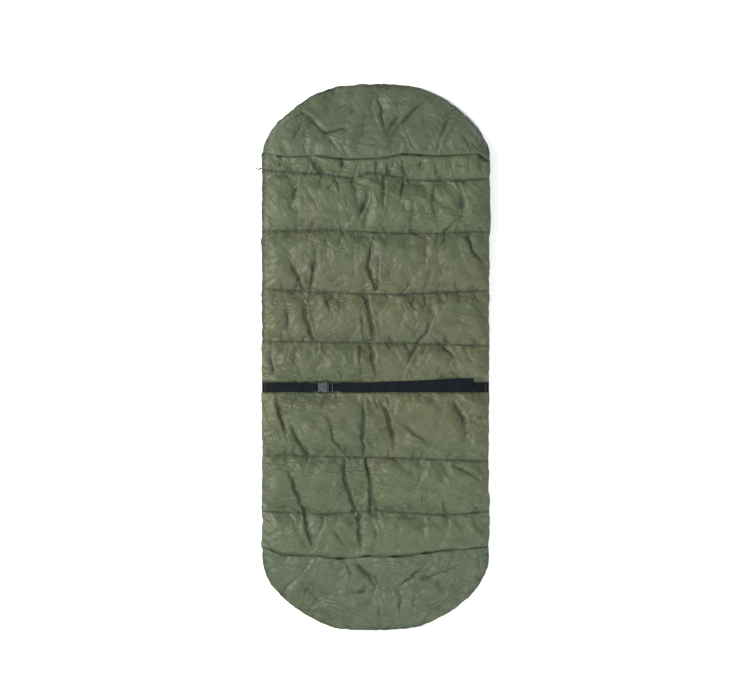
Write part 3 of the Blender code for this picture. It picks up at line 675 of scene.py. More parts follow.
def stitches(name, tree, lines, look, length=0.0032, gap=0.0018, fallback=0.06):
    """Thread stitches that follow lines of the plan, lying on a surface."""
    verts, faces = [], []
    thick = 0.0006
    section = ((-1, -0.4), (-0.5, 1), (0.5, 1), (1, -0.4))
    for line in lines:
        pts = np.asarray(line, float)
        steps = np.hypot(*np.diff(pts, axis=0).T)
        along = np.concatenate([[0.0], np.cumsum(steps)])
        count = int(along[-1] / (length + gap))
        for number in range(count):
            ends = []
            for place in (number * (length + gap), number * (length + gap) + length):
                x = np.interp(place, along, pts[:, 0])
                y = np.interp(place, along, pts[:, 1])
                ends.append(np.array([x, y, drop(tree, x, y, fallback)]))
            run = ends[1] - ends[0]
            if abs(run[2]) > 2.5 * length:
                continue
            side = np.array([-run[1], run[0], 0.0])
            side /= max(np.linalg.norm(side), SHORTEST)
            base = len(verts)
            for share, size in ((0.0, 0.35), (0.2, 1.0), (0.8, 1.0), (1.0, 0.35)):
                middle = ends[0] + run * share
                for across, up in section:
                    lift = np.array([0.0, 0.0, (up * 0.55 + 0.25) * thick * size])
                    verts.append(middle + side * across * size * thick / 2 + lift)
            faces += grid_faces(4, 4, start=base, close_cols=True)
            faces += [[base + 3, base + 2, base + 1, base], [base + 12, base + 13, base + 14, base + 15]]
    obj = mesh_piece(name, verts, faces, look)
    return obj


# Base quilt


def along_tail(x):
    """0 where the loose tail of the strap lies on the strap, 1 at its end."""
    return smooth((x + 0.05) / 0.437)


def tail_skew(x):
    """How far towards the head the loose tail of the strap has slipped."""
    return TAIL_SKEW * along_tail(x) * smooth((0.443 - x) / 0.02)


def base_grid(step):
    """Points of the base quilt's plan in rows, and which rows are seams or the strap's bed."""
    u = columns(step)
    x_line = u * HALF_WIDTH
    seams = [seam_at(seam, x_line) for seam in SEAMS]
    strap = []
    for side in (-1, 1):
        waves = 0.002 * noise(x_line, x_line * 0.0, 0.06, 30 + side)
        strap.append(STRAP_Y + side * STRAP_BED_HALF + waves)
    strap[1] = strap[1] + tail_skew(x_line)
    marks = [np.full(u.shape, FOOT_Y)] + seams[:2] + strap + seams[2:] + [np.full(u.shape, HEAD_Y)]
    y, at = side_rows(marks, step)
    foot_x, foot_y = cap_rows(u, FOOT_Y, -FOOT_RISE, step)
    head_x, head_y = cap_rows(u, HEAD_Y, HEAD_RISE, step)
    gx = np.vstack([foot_x[::-1], np.broadcast_to(x_line, y.shape), head_x])
    gy = np.vstack([foot_y[::-1], y, head_y])
    start = len(foot_x)
    seam_rows = [start + at[k] for k in (1, 2, 5, 6, 7, 8)]
    strap_rows = list(range(start + at[3], start + at[4] + 1))
    return gx, gy, seam_rows, strap_rows


def rim_loop(rows, cols):
    """Point numbers round the edge of a grid, anticlockwise from the first corner."""
    index = np.arange(rows * cols).reshape(rows, cols)
    return np.concatenate([index[0, :-1], index[:-1, -1], index[-1, :0:-1], index[:0:-1, 0]])


def add_skirt(verts, faces, loop, levels):
    """Turn an edge down: levels are (outward, z) arrays, one ring of points each.

    Gives back all points and all faces.
    """
    ring = np.asarray(verts)[loop]
    ahead, behind = np.roll(ring, -1, axis=0), np.roll(ring, 1, axis=0)
    dx, dy = (ahead - behind)[:, 0], (ahead - behind)[:, 1]
    size = np.maximum(np.hypot(dx, dy), SHORTEST)
    nx, ny = dy / size, -dx / size
    last = loop
    total = len(verts)
    points, quads = [verts], list(faces)
    for out, z in levels:
        points.append(np.stack([ring[:, 0] + nx * out, ring[:, 1] + ny * out, z], -1))
        new = total + np.arange(len(loop))
        quads += np.stack([last, new, np.roll(new, -1), np.roll(last, -1)], -1).tolist()
        last = new
        total += len(loop)
    return np.vstack(points), quads


def looseness(gaps, x):
    """1 where a hem stands off the quilt, 0 where it lies close."""
    return np.max([hill(x - gap, 0.017) for gap in gaps], axis=0)


def room_above(x, y):
    """How high the base quilt may stand: it stays under the pockets and dips at their mouths."""
    mouth, highest = 0.018, 0.0900
    limit = highest
    for hem, way, toward_head in ((HEAD_HEM, 1.0, True), (FOOT_HEM, -1.0, False)):
        inside = way * (y - seam_at(hem, x))
        if toward_head:
            cloth = pocket_top(x, np.maximum(y, 0.79), True)
        else:
            cloth = pocket_top(x, np.minimum(y, FOOT_Y), False)
        under = cloth - (0.0050 + 0.0035 * smooth(inside / 0.02))
        limit = limit + smooth((inside + mouth) / mouth) * (under - highest)
    return limit


def below_ceiling(z):
    """Flatten the highest puffs gently, so that none stands out."""
    over = np.maximum(z - CALM_Z, 0.0)
    return np.minimum(z, CALM_Z) + CEILING_ROOM * np.tanh(over / CEILING_ROOM)


def pin_edges(pins):
    pins[[0, -1]] = 1.0
    pins[:, [0, -1]] = 1.0


def base_relief(gx, gy, folds, seam_rows, strap_rows):
    """Heights of the base quilt's outer fabric before it puffs up, and where it is pinned."""
    relief, line = fold_relief(gx, gy, folds)
    calm = smooth(edge_distance(gx, gy) / BORDER)
    lumps = 0.0020 * noise(gx, gy, 0.11, SEED)
    lumps = lumps + 0.0055 * (crumple(gx, gy, 0.085, SEED + 1, 1.6, 1.2) - 0.5)
    fine = 0.0009 * noise(gx, gy, 0.018, SEED + 2)
    gz = base_top(gx, gy) + calm * (relief + lumps + fine)
    pins = np.zeros(gx.shape)
    pins[line > 0.75] = 0.5
    for row in seam_rows:
        pins[row] = 1.0
        gz[row] = base_underside(gy[row]) + BASE_THICKNESS * SEAM_LEVEL * (0.62 + 0.38 * calm[row])
    for row in strap_rows:
        pins[row] = 1.0
        gz[row] = bed_height(gx[row])
    pin_edges(pins)
    return gz, pins


def base_skirt(edge):
    """Levels of the base quilt's turned-down edge, gathered along its binding."""
    low = base_underside(edge[:, 1]) + 0.006
    drop_height = edge[:, 2] - low
    gather = 0.0010 * noise(edge[:, 0], edge[:, 1], 0.014, 17)
    return [
        (0.0022 + gather, low + 0.78 * drop_height),
        (0.0026 + gather * 1.5, low + 0.5 * drop_height),
        (0.0012 + gather, low + 0.2 * drop_height),
        (-0.0015, low),
    ]


def crease_base(points, folds):
    """Press the creases and crinkles into the base quilt; gives back the fold lines."""
    x, y = points[:, 0], points[:, 1]
    bed_edge = np.abs(np.abs(y - STRAP_Y - tail_skew(x) / 2.0) - 0.020)
    inner = points[:, 2] > base_underside(y) + SKIRT_TOP
    crinkled = points.copy()
    crinkle(crinkled, CRINKLE, SEED + 40, np.minimum(seam_distance(x, y), bed_edge))
    groove = fold_relief(x, y, folds)[1]
    from_strap = y - STRAP_Y
    in_bed = (from_strap > -0.0195) & (from_strap < 0.0195 + tail_skew(x))
    crinkled[:, 2] -= 0.0022 * groove
    crinkled[in_bed, 2] = points[in_bed, 2]
    points[inner] = crinkled[inner]
    points[:, 2] = np.minimum(points[:, 2], room_above(points[:, 0], points[:, 1]) + 0.0015)
    points[:, 2] = below_ceiling(points[:, 2])
    return groove, inner


def base_shade(points, groove, inner):
    """Painted shade of the base quilt: how dark it is drawn in its creases, hollows and seams, along the
    edges of the strap bed, under the open hems and in a band along its left side.
    """
    x, y = points[:, 0], points[:, 1]
    upper = smooth((y - 0.60) / 0.06)
    # Painted shade in the crease lines and in hollows below the cloth round them
    shade = 0.75 * groove + CAVITY_SHADE * smooth(cavity(points) / CAVITY_DEPTH) * inner
    shade += 0.80 * hill(seam_distance(x, y), 0.0032 + 0.0008 * upper)
    shade += 0.5 * hill(np.abs(y - STRAP_Y) - 0.021, 0.005)
    # Painted shadow under the hems, darker and wider where they stand open
    for hem, gaps, out in ((HEAD_HEM, HEAD_GAPS, -1.0), (FOOT_HEM, FOOT_GAPS, 1.0)):
        gap = (y - seam_at(hem, x)) * out
        loose = looseness(gaps, x)
        shade += (0.40 + 1.0 * loose) * hill(gap - 0.001, 0.0045 + 0.0050 * loose)
    # Painted shade, a dark band along the left side from near the middle up to the head pocket
    side = smooth((-x - 0.434) / 0.008) * smooth((y - 0.02) / 0.06)
    shade += 0.7 * side * smooth((0.80 - y) / 0.02)
    return shade


def quilting(name, tree, reach, count, body, *sizes, **options):
    """The thread along every seam of one quilt."""
    xs = np.linspace(-reach, reach, count)
    lines = [np.stack([xs, seam_at(seam, xs)], -1) for seam in SEAMS]
    thread = stitches(name, tree, lines, looks["thread_olive"], *sizes, **options)
    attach(thread, body)


def make_base_top(look):
    gx, gy, seam_rows, strap_rows = base_grid(GRID)
    folds = BASE_FOLDS + tuple(small_folds(11, 84, SEAMS, lean=0.35, span=0.075))
    folds += tuple(small_folds(12, 26, STRAP_LINES, lean=0.40, span=0.080))
    gz, pins = base_relief(gx, gy, folds, seam_rows, strap_rows)
    wx, wy = warp(gx, gy)
    rows, cols = gx.shape
    verts = np.stack([wx, wy, gz], -1).reshape(-1, 3)
    obj = mesh_piece("base_quilt_shell", verts, grid_faces(rows, cols), look)
    simulate(obj, pins, growth=0.035, pressure=1.2, frames=22, limit=0.010)
    verts = read_points(obj)
    bpy.data.objects.remove(obj, do_unlink=True)
    verts[:, 2] = np.minimum(verts[:, 2], room_above(verts[:, 0], verts[:, 1]))
    loop = rim_loop(rows, cols)
    verts, faces = add_skirt(verts, grid_faces(rows, cols), loop, base_skirt(verts[loop]))
    obj = mesh_piece("base_quilt_shell", verts, faces, look)
    subdivide(obj)
    points = read_points(obj)
    groove, inner = crease_base(points, folds)
    write_points(obj, points)
    write_shadow(obj, base_shade(points, groove, inner))
    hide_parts("base_shell", "base_filling")
    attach(obj, "base")
    quilting("base_quilting_thread", surface_of(obj), 0.443, 120, "base")


def seam_shade(points, strength):
    return strength * hill(seam_distance(points[:, 0], points[:, 1]), 0.004)


def quilt_lining(name, gx, gy, gz, seam_rows, facing, look, growth, seed):
    """A quilted inner fabric; facing is +1 when it looks up and -1 when it looks down."""
    pins = np.zeros(gx.shape)
    for row in seam_rows:
        pins[row] = 1.0
    pin_edges(pins)
    rows, cols = gx.shape
    verts = np.stack([gx, gy, gz], -1).reshape(-1, 3)
    faces = grid_faces(rows, cols, flip=facing < 0)
    obj = mesh_piece(name, verts, faces, look)
    simulate(obj, pins, growth, pressure=1.2, frames=16, limit=0.0042)
    subdivide(obj)
    points = read_points(obj)
    crinkle(points, 0.00022, seed, seam_distance(points[:, 0], points[:, 1]))
    points[:, 2] = np.maximum(points[:, 2], 0.0008)
    write_points(obj, points)
    write_shadow(obj, seam_shade(points, 0.8))
    return obj


def make_base_lining(look):
    gx, gy, seam_rows = base_grid(LINING_GRID)[:3]
    rise = 0.0032 * np.sqrt(smooth(seam_distance(gx, gy) / 0.07)) * smooth(edge_distance(gx, gy) / 0.04)
    rise = rise * smooth((0.75 - gy) / 0.05)
    gz = base_underside(gy) + 0.0016 - rise + 0.0004 * noise(gx, gy, 0.04, 61)
    gx, gy = warp(gx, gy)
    gx, gy = gx * 0.998, gy * 0.999
    obj = quilt_lining("base_inner_lining", gx, gy, gz, seam_rows, -1, look, 0.010, 62)
    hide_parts("base_lining")
    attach(obj, "base")


def cover_grid(step):
    u = columns(step)
    x_line = u * HALF_WIDTH
    seams = [seam_at(seam, x_line) for seam in SEAMS]
    marks = [np.full(u.shape, FOOT_Y)] + seams + [np.full(u.shape, COVER_HEM_Y)]
    y, at = side_rows(marks, step)
    foot_x, foot_y = cap_rows(u, FOOT_Y, -FOOT_RISE, step)
    gx = np.vstack([foot_x[::-1], np.broadcast_to(x_line, y.shape)])
    gy = np.vstack([foot_y[::-1], y])
    return gx, gy, [len(foot_x) + at[k] for k in range(1, 1 + len(SEAMS))]


def make_cover_lining(gx, gy, seam_rows, calm, look):
    lumps = 0.0012 * noise(gx, gy, 0.09, 71) + 0.0006 * noise(gx, gy, 0.03, 72)
    gz = cover_top(gx, gy) - 0.0022 + calm * lumps
    lining = quilt_lining("cover_inner_lining", gx * 0.995, gy, gz, seam_rows, 1, look, 0.012, 73)
    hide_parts("cover_lining")
    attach(lining, "cover")
    tree = surface_of(lining)
    quilting("cover_quilting_thread", tree, 0.438, 100, "cover", 0.004, 0.003, fallback=0.02)


def cover_skirt(edge):
    """Levels of the cover quilt's turned-up edge, kept inside its binding."""
    gather = 0.0006 * noise(edge[:, 0], edge[:, 1], 0.014, 19)
    level = np.ones(len(edge))
    return [
        (0.0010 + gather, 0.0045 + edge[:, 2] * 0.3),
        (0.0006 + gather, level * 0.0095),
        (-0.0004 + gather, level * 0.0125),
        (-0.0018, level * 0.0150),
    ]


def make_cover(look, lining_look):
    gx, gy, seam_rows = cover_grid(LINING_GRID)
    calm = smooth(edge_distance(gx, gy) / BORDER)
    make_cover_lining(gx, gy, seam_rows, calm, lining_look)
    rows, cols = gx.shape
    wx, wy = warp(gx, gy, COVER_OUTLINE)
    tuck = 0.0060 * (1.0 - np.sqrt(smooth(seam_distance(gx, gy) / 0.05)))
    low = FLOOR_GAP + tuck + 0.004 * (1.0 - calm)
    verts = np.stack([wx, wy, low], -1).reshape(-1, 3)
    loop = rim_loop(rows, cols)
    verts, faces = add_skirt(verts, grid_faces(rows, cols, flip=True), loop, cover_skirt(verts[loop]))
    shell = mesh_piece("cover_quilt_shell", verts, faces, look)
    fix_normals(shell)
    subdivide(shell)
    write_shadow(shell, seam_shade(read_points(shell), 0.7))
    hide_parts("cover_shell", "cover_filling")
    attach(shell, "cover")


# Edges, zip and side wall


def trim(path, keep):
    return [values[keep] for values in path]


def start_at(path, first):
    """Turn a closed path round so that it starts at the first place that is marked."""
    return [np.roll(values, -int(np.argmax(first))) for values in path]


def make_base_binding(look):
    path = list(outline(BINDING_STEP))
    height = base_underside(path[1]) + 0.0006
    bulge = 0.0006 * noise(path[0], path[1], 0.02, 81)
    section = rounded(0.0036, 0.0090, 4, 0.0, 0.6)[None] * (1.0 + bulge * 80.0)[:, None, None]
    section[..., 0] += BINDING_OUT
    tape = sweep("base_edge_tape", path + [height], section, look)
    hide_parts("base_edge_binding")
    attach(tape, "base")


def make_cover_binding(look):
    top = COVER_HEM_Y - 0.001
    path = outline(BINDING_STEP, COVER_OUTLINE)
    path = start_at(path, (path[0] < 0.0) & (path[1] < top))
    path = trim(path, path[1] < top)
    height = 0.0062 + 0.0003 * noise(path[0], path[1], 0.03, 83)
    section = rounded(0.0036, 0.0092, 4, 0.0, 0.6)
    section[:, 0] += BINDING_OUT
    tape = sweep("cover_edge_tape", path + [height], section[None], look, closed=False)
    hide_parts("cover_edge_binding")
    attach(tape, "cover")


def make_cover_hem(look):
    xs = np.linspace(-0.4465, 0.4465, 150)
    line = [xs, np.full(xs.shape, 0.7590), np.zeros(xs.shape), np.ones(xs.shape)]
    thick = COVER_THICKNESS * (0.50 + 0.16 * smooth((HALF_WIDTH - np.abs(xs)) / 0.05))
    size = np.stack([np.ones(xs.shape), thick], -1)
    section = rounded(0.0064, 1.0, 5, 0.0, 0.6)[None] * size[:, None, :]
    path = line + [np.full(xs.shape, FLOOR_GAP)]
    hem = sweep("cover_head_hem", path, section, look, closed=False)
    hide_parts("cover_top_hem")
    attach(hem, "cover")


def zip_path(step, top):
    """Down the left side from the given height and round the foot to the right corner."""
    path = outline(step, None)
    path = start_at(path, (path[0] < 0.0) & (path[1] < top))
    x, y = path[:2]
    path = trim(path, ((x < 0.0) & (y < top)) | (y < FOOT_Y - 0.001))
    path[1][0] = top
    return path


def make_zip_tape(body, low, high, look):
    path = zip_path(0.006, COVER_HEM_Y - 0.0002)
    sag = 0.0002 * noise(path[0], path[1], 0.03, 91)
    section = rounded(0.0009, high - low, 3, 0.0, 0.35)
    section[:, 0] -= ZIP_INSET
    tape = sweep(body + "_zip_tape", path + [low + sag], section[None], look, closed=False)
    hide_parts("zip_tape_" + body)
    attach(tape, body)


def make_zip_teeth(body, height, toward, late, look):
    """A row of teeth; each is a short prism whose pointed end looks toward the other row."""
    fine = zip_path(0.0005, COVER_HEM_Y - 0.0055)
    pick = (np.arange(0.0, len(fine[0]) - 6, TOOTH_PITCH) + late * TOOTH_PITCH).astype(int)
    verts, faces = [], []
    for px, py, ox, oy in zip(*[values[pick] for values in fine]):
        base = len(verts)
        for side in (-1.0, 1.0):
            for out, rise in TOOTH:
                width = 0.00055 * side * (1.25 if rise > 1.0 else 1.0)
                centre = out - ZIP_INSET
                place = (px + ox * centre - oy * width, py + oy * centre + ox * width)
                verts.append((*place, height + toward * rise * 0.0010))
        faces += [[base + k, base + (k + 1) % 5, base + 5 + (k + 1) % 5, base + 5 + k] for k in range(5)]
        faces += [[base + 4 - k for k in range(5)], [base + 5 + k for k in range(5)]]
    teeth = mesh_piece(body + "_zip_teeth", verts, faces, look, smooth_shaded=False)
    fix_normals(teeth)
    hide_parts("zip_teeth_" + body)
    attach(teeth, body)


def make_zip(tape_look, coil_look):
    make_zip_tape("cover", low=0.0146, high=0.0258, look=tape_look)
    make_zip_teeth("cover", height=0.0271, toward=1.0, late=0.0, look=coil_look)
    make_zip_tape("base", low=0.0334, high=0.0438, look=tape_look)
    make_zip_teeth("base", height=0.0321, toward=-1.0, late=0.5, look=coil_look)


def make_draught_tube(look):
    y = np.arange(-0.772, 0.716, 0.008)
    x = np.full(y.shape, -0.430) + 0.0012 * noise(y, y * 0.0, 0.06, 95)
    fat = 1.0 + 0.07 * noise(y, y * 0.0, 0.022, 96) + 0.05 * noise(y, y * 0.0, 0.055, 97)
    ends = np.sqrt(np.clip(np.minimum(y + 0.774, 0.717 - y) / 0.012, 0.12, 1.0))
    section = rounded(0.0124, 0.0124, 5, -0.0062, 1.0)[None] * (fat * ends)[:, None, None]
    path = [x, y, np.ones(y.shape), np.zeros(y.shape), np.full(y.shape, 0.0300)]
    tube = sweep("zip_draught_tube", path, section, look, closed=False)
    write_no_shadow(tube)
    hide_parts("draught_tube")
    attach(tube, "cover")


def make_gusset(look):
    """The gathered wall between the two quilts, in two layers."""
    y = np.arange(-0.7765, 0.758, 0.004)
    shares = np.linspace(0.0, 1.0, 9)
    bow = np.sin(shares * np.pi)
    inward = 0.0012 + 0.0022 * bow
    place = y[:, None] + shares * 0.012
    folds = 0.0011 * noise(place, place * 0.0, 0.013, 101) + 0.0008 * noise(place, place * 0.0, 0.047, 102)
    x = 0.4490 - inward[None, :] + folds * bow
    z = 0.0160 + shares[None, :] * 0.0255 + np.zeros(x.shape)
    yy = np.broadcast_to(y[:, None], x.shape)
    rows, cols = x.shape
    outer = np.stack([x, yy, z], -1).reshape(-1, 3)
    inner = np.stack([x - 0.0008, yy, z], -1).reshape(-1, 3)
    faces = grid_faces(rows, cols) + grid_faces(rows, cols, flip=True, start=rows * cols)
    loop = rim_loop(rows, cols)
    ahead = np.roll(loop, -1)
    faces += np.stack([loop, loop + rows * cols, ahead + rows * cols, ahead], -1).tolist()
    wall = mesh_piece("side_wall", np.vstack([outer, inner]), faces, look)
    fix_normals(wall)
    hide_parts("side_gusset")
    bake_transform(wall)


# Bedchair pockets


def pocket_grid(toward_head, hem_points):
    """Points of a pocket's plan, from its hem to the tip of the bag, and the hem's y."""
    u = columns(GRID)
    x_line = u * HALF_WIDTH
    centre, rise = (HEAD_Y, HEAD_RISE) if toward_head else (FOOT_Y, -FOOT_RISE)
    hem = seam_at(hem_points, x_line)
    cx, cy = cap_rows(u, centre, rise, GRID)
    v = (np.arange(0, len(cx) + 1) / len(cx))[:, None]
    gx = np.vstack([x_line[None, :], cx])
    gy = np.vstack([np.full((1, len(u)), centre), cy]) + (hem - centre)[None, :] * (1.0 - v) ** 3
    return gx, gy, hem


def pocket_relief(gx, gy, hem, toward_head, folds):
    """Heights of a pocket before it puffs up, and where it is pinned."""
    relief, line = fold_relief(gx, gy, folds)
    calm = smooth(edge_distance(gx, gy) / BORDER)
    seed = HEAD_SEED if toward_head else FOOT_SEED
    lumps = 0.0020 * noise(gx, gy, 0.10, seed)
    lumps = lumps + 0.0036 * (crumple(gx, gy, 0.075, seed + 1, 1.8, 0.3) - 0.5)
    mouth = hill(np.abs(gy - hem[None, :]), 0.03)
    gaps = HEAD_GAPS if toward_head else FOOT_GAPS
    lift = mouth * (0.0015 * noise(gx, gy * 0.0, 0.040, seed + 2) + 0.0044 * looseness(gaps, gx))
    pins = np.zeros(gx.shape)
    pins[line > 0.8] = 0.4
    pins[0] = 0.35
    pins[-1] = 1.0
    pins[:, [0, -1]] = 1.0
    return pocket_top(gx, gy, toward_head) + calm * (relief + lumps + lift), pins


def make_pocket(name, toward_head, folds, hem_points, look, thread_look):
    gx, gy, hem = pocket_grid(toward_head, hem_points)
    centre, rise = (HEAD_Y, HEAD_RISE) if toward_head else (FOOT_Y, -FOOT_RISE)
    middle = centre + 0.55 * rise
    folds_seed, crinkle_seed = (13, HEAD_SEED + 3) if toward_head else (14, FOOT_SEED + 3)
    marks = (hem_points, ((-0.4, middle), (0.4, middle)))
    folds = folds + tuple(small_folds(folds_seed, 26, marks, lean=0.8, span=0.110))
    gz, pins = pocket_relief(gx, gy, hem, toward_head, folds)
    wx, wy = warp(gx, gy)
    rows, cols = gx.shape
    verts = np.stack([wx, wy, gz], -1).reshape(-1, 3)
    faces = grid_faces(rows, cols, flip=not toward_head)
    sheet = mesh_piece(name + "_cloth", verts, faces, look)
    simulate(sheet, pins, growth=0.030, pressure=0.45, frames=20, limit=0.009)
    coarse = read_points(sheet).reshape(rows, cols, 3)
    subdivide(sheet)
    points = read_points(sheet)
    crinkle(points, CRINKLE, crinkle_seed)
    line = fold_relief(points[:, 0], points[:, 1], folds)[1]
    points[:, 2] = below_ceiling(points[:, 2] - 0.0020 * line)
    write_points(sheet, points)
    # Painted shade in the pocket's crease lines and hollows
    write_shadow(sheet, 0.6 * line + CAVITY_SHADE * smooth(cavity(points) / CAVITY_DEPTH))
    thickness = sheet.modifiers.new("Cloth_thickness", "SOLIDIFY")
    thickness.thickness = 0.0007
    thickness.offset = -1.0
    apply_modifiers(sheet)
    band = make_hem(name, coarse[:5], look, toward_head)
    thread = hem_thread(name, band, hem, toward_head, thread_look)
    rim = make_rim(name, toward_head, look)
    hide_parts(name)
    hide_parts(name + "_hem")
    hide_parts(name + "_rim")
    for piece in (sheet, band, thread, rim):
        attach(piece, "base")


def make_hem(name, grid, look, toward_head):
    """The doubled edge of a pocket, a flat turned band with a rolled front."""
    into = np.array([0.0, 1.0 if toward_head else -1.0, 0.0])
    up = np.array([0.0, 0.0, 1.0])
    puff = 0.0012 + 0.0005 * noise(grid[0, :, 0], grid[0, :, 0] * 0.0, 0.02, 131)
    rows = [
        grid[0] - up * 0.0016 + into * 0.0030,
        grid[0] - up * 0.0004 - into * 0.0020,
        grid[0] + up * 0.0011 - into * 0.0012,
    ]
    rows += [grid[k] + up * puff[:, None] * 1.2 for k in (1, 2, 3)]
    rows += [grid[4] * 0.35 + grid[3] * 0.65 + up * 0.0012, grid[4] * 0.55 + grid[3] * 0.45 - up * 0.0002]
    stack = np.array(rows)
    count, cols = stack.shape[:2]
    faces = grid_faces(count, cols, flip=not toward_head)
    band = mesh_piece(name + "_hem_band", stack.reshape(-1, 3), faces, look)
    subdivide(band)
    write_no_shadow(band)
    return band


def hem_thread(name, band, hem, toward_head, look):
    xs = np.linspace(-0.435, 0.435, 140)
    inward = HEM_DEPTH - 0.003 if toward_head else -(HEM_DEPTH - 0.003)
    line = np.interp(xs, columns(GRID) * HALF_WIDTH, hem) + inward
    tree = surface_of(band)
    return stitches(name + "_hem_thread", tree, [np.stack([xs, line], -1)], look, fallback=0.084)


def make_rim(name, toward_head, look):
    """The gathered seam where the pocket meets the edge of the base quilt."""
    path = outline(0.005)
    overlap = 0.004
    inside = lambda y: y > HEAD_Y - overlap if toward_head else y < FOOT_Y + overlap
    path = start_at(path, inside(path[1]) & ~np.roll(inside(path[1]), 1))
    path = trim(path, inside(path[1]))
    height = base_underside(path[1]) + BASE_THICKNESS * RIM_LEVEL - 0.0020
    bumps = 1.0 + 0.16 * noise(path[0], path[1], 0.012, 141)
    section = rounded(0.0052, 0.0078, 4, 0.0, 0.8)[None] * bumps[:, None, None]
    section[..., 0] -= 0.0004
    rim = sweep(name + "_rim_seam", path + [height], section, look, closed=False)
    write_no_shadow(rim)
    return rim


# Strap


def webbing(name, centre, look):
    """A woven strap along a line of (x, y, z) points with a dense ribbed section."""
    line = np.asarray(centre, float)
    steps = np.linalg.norm(np.diff(line, axis=0), axis=1)
    along = np.concatenate([[0.0], np.cumsum(steps)])
    count = max(int(along[-1] / 0.004), 4)
    places = np.linspace(0.0, along[-1], count + 1)
    path = np.stack([np.interp(places, along, line[:, k]) for k in range(3)], -1)
    path[1:-1] = 0.25 * path[:-2] + 0.5 * path[1:-1] + 0.25 * path[2:]
    run = np.gradient(path, axis=0)
    run /= np.linalg.norm(run, axis=1, keepdims=True)
    across = np.stack([-run[:, 1], run[:, 0], np.zeros(len(run))], -1)
    flat = np.hypot(run[:, 0], run[:, 1])[:, None]
    across = np.where(flat > 0.3, across / np.maximum(flat, 1e-6), np.array([[0.0, 1.0, 0.0]]))
    across[across[:, 1] < 0.0] *= -1.0
    normal = np.cross(run, across)
    half_ring = 20
    sides = np.concatenate([np.linspace(-1.0, 1.0, half_ring), np.linspace(1.0, -1.0, half_ring)])
    tops = np.concatenate([np.ones(half_ring), -np.ones(half_ring)])
    edge = np.sqrt(np.clip(1.0 - np.abs(sides) ** 14, 0.0, 1.0)) * 0.65 + 0.35
    rib = 1.0 + 0.10 * np.cos(sides * np.pi * WEBBING_RIBS)
    full = smooth((np.abs(path[:, 0] - LACED_X) - 0.045) / 0.030)[:, None]
    offset_side = sides[None, :] * (LACED_WIDTH + (WEBBING_WIDTH - LACED_WIDTH) * full) / 2
    offset_up = tops * WEBBING_THICKNESS / 2 * edge * rib
    wobble = 0.0003 * noise(path[:, 0:1] + offset_side * 0.4, path[:, 1:2] + offset_side, 0.03, 151)
    verts = path[:, None, :] + across[:, None, :] * offset_side[..., None]
    verts = verts + normal[:, None, :] * (offset_up[None, :] + wobble)[..., None]
    rows, cols = verts.shape[:2]
    faces = grid_faces(rows, cols, close_cols=True)
    faces.append(list(range(cols)))
    faces.append(list(range((rows - 1) * cols, rows * cols))[::-1])
    obj = mesh_piece(name, verts.reshape(-1, 3), faces, look)
    fix_normals(obj)
    return obj


def strap_height(x):
    """Height of the strap's middle, lying in its bed and turned down over the bag's edge."""
    x = np.asarray(x, float)
    inner = np.clip(x, -0.447, 0.447)
    dip = 0.0010 * np.exp(-((x / 0.015) ** 2))
    return bed_height(inner) + 0.0024 - dip - 0.0070 * smooth((np.abs(x) - 0.4465) / 0.0035)


def on_strap_line(places):
    """Points in the strap's middle plane from (x, z) pairs."""
    return np.array([(x, STRAP_Y, z) for x, z in places])


def left_strap_path():
    """From the left edge to the buckle, round its bar and back over itself."""
    xs = np.concatenate([np.linspace(-STRAP_END, -STRAP_BEND, 6), np.linspace(-0.4400, -0.2480, 54)])
    top = np.stack([xs, STRAP_Y + 0.0008 * np.sin(xs * 31.0), strap_height(xs)], -1)
    bar_x, bar_z = -0.2340, 0.0755
    rise = on_strap_line([(-0.2400, 0.0698)])
    turn = np.linspace(-0.5 * np.pi, 0.5 * np.pi, 12)
    loop = on_strap_line(zip(bar_x + 0.0040 * np.cos(turn), bar_z + 0.0036 * np.sin(turn)))
    back = on_strap_line([(-0.2420, 0.0772), (-0.2500, 0.0738), (-0.2600, 0.0716), (-0.2850, 0.0704)])
    return np.vstack([top, rise, loop, back])


def right_strap_path():
    xs = np.concatenate([np.linspace(-0.1850, 0.4400, 150), np.linspace(STRAP_BEND, STRAP_END, 6)])
    return np.stack([xs, np.full(xs.shape, STRAP_Y), strap_height(xs)], -1)


def tail_path():
    """Round the plug's bar and along the strap, high enough to clear it as the buckle opens."""
    xs = np.linspace(-0.1600, 0.3870, 150)
    sway = 0.0012 * np.sin(xs * 23.0) * smooth((xs + 0.16) / 0.05)
    slides = np.linspace(0.0, RELEASE_TRAVEL, 12)
    highest = np.max([strap_height(xs + slide) for slide in slides], axis=0)
    zs = highest + 0.0023 + 0.0002 * noise(xs, xs * 0.0, 0.05, 161)
    tail = np.stack([xs, STRAP_Y + TAIL_SKEW * along_tail(xs) + sway, zs], -1)
    wrap = on_strap_line([(-0.1790, 0.0716), (-0.1805, 0.0760), (-0.1790, 0.0795)])
    start = on_strap_line([(-0.1765, 0.0797), (-0.1745, 0.0790), (-0.1715, 0.0716)])
    return np.vstack([wrap, start, tail])


def make_strap(look, thread_look):
    pieces = (
        ("strap_left", left_strap_path(), "base"),
        ("strap_right", right_strap_path(), "base"),
        ("strap_tail", tail_path(), "buckle_plug"),
    )
    for name, path, body in pieces:
        strap = webbing(name + "_webbing", path, look)
        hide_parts(name)
        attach(strap, body)
    for name in ("strap_tack_left", "strap_tack_right"):
        low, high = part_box(name)
        piece = tack(name + "_stitches", low, high, thread_look)
        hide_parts(name)
        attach(piece, "base")


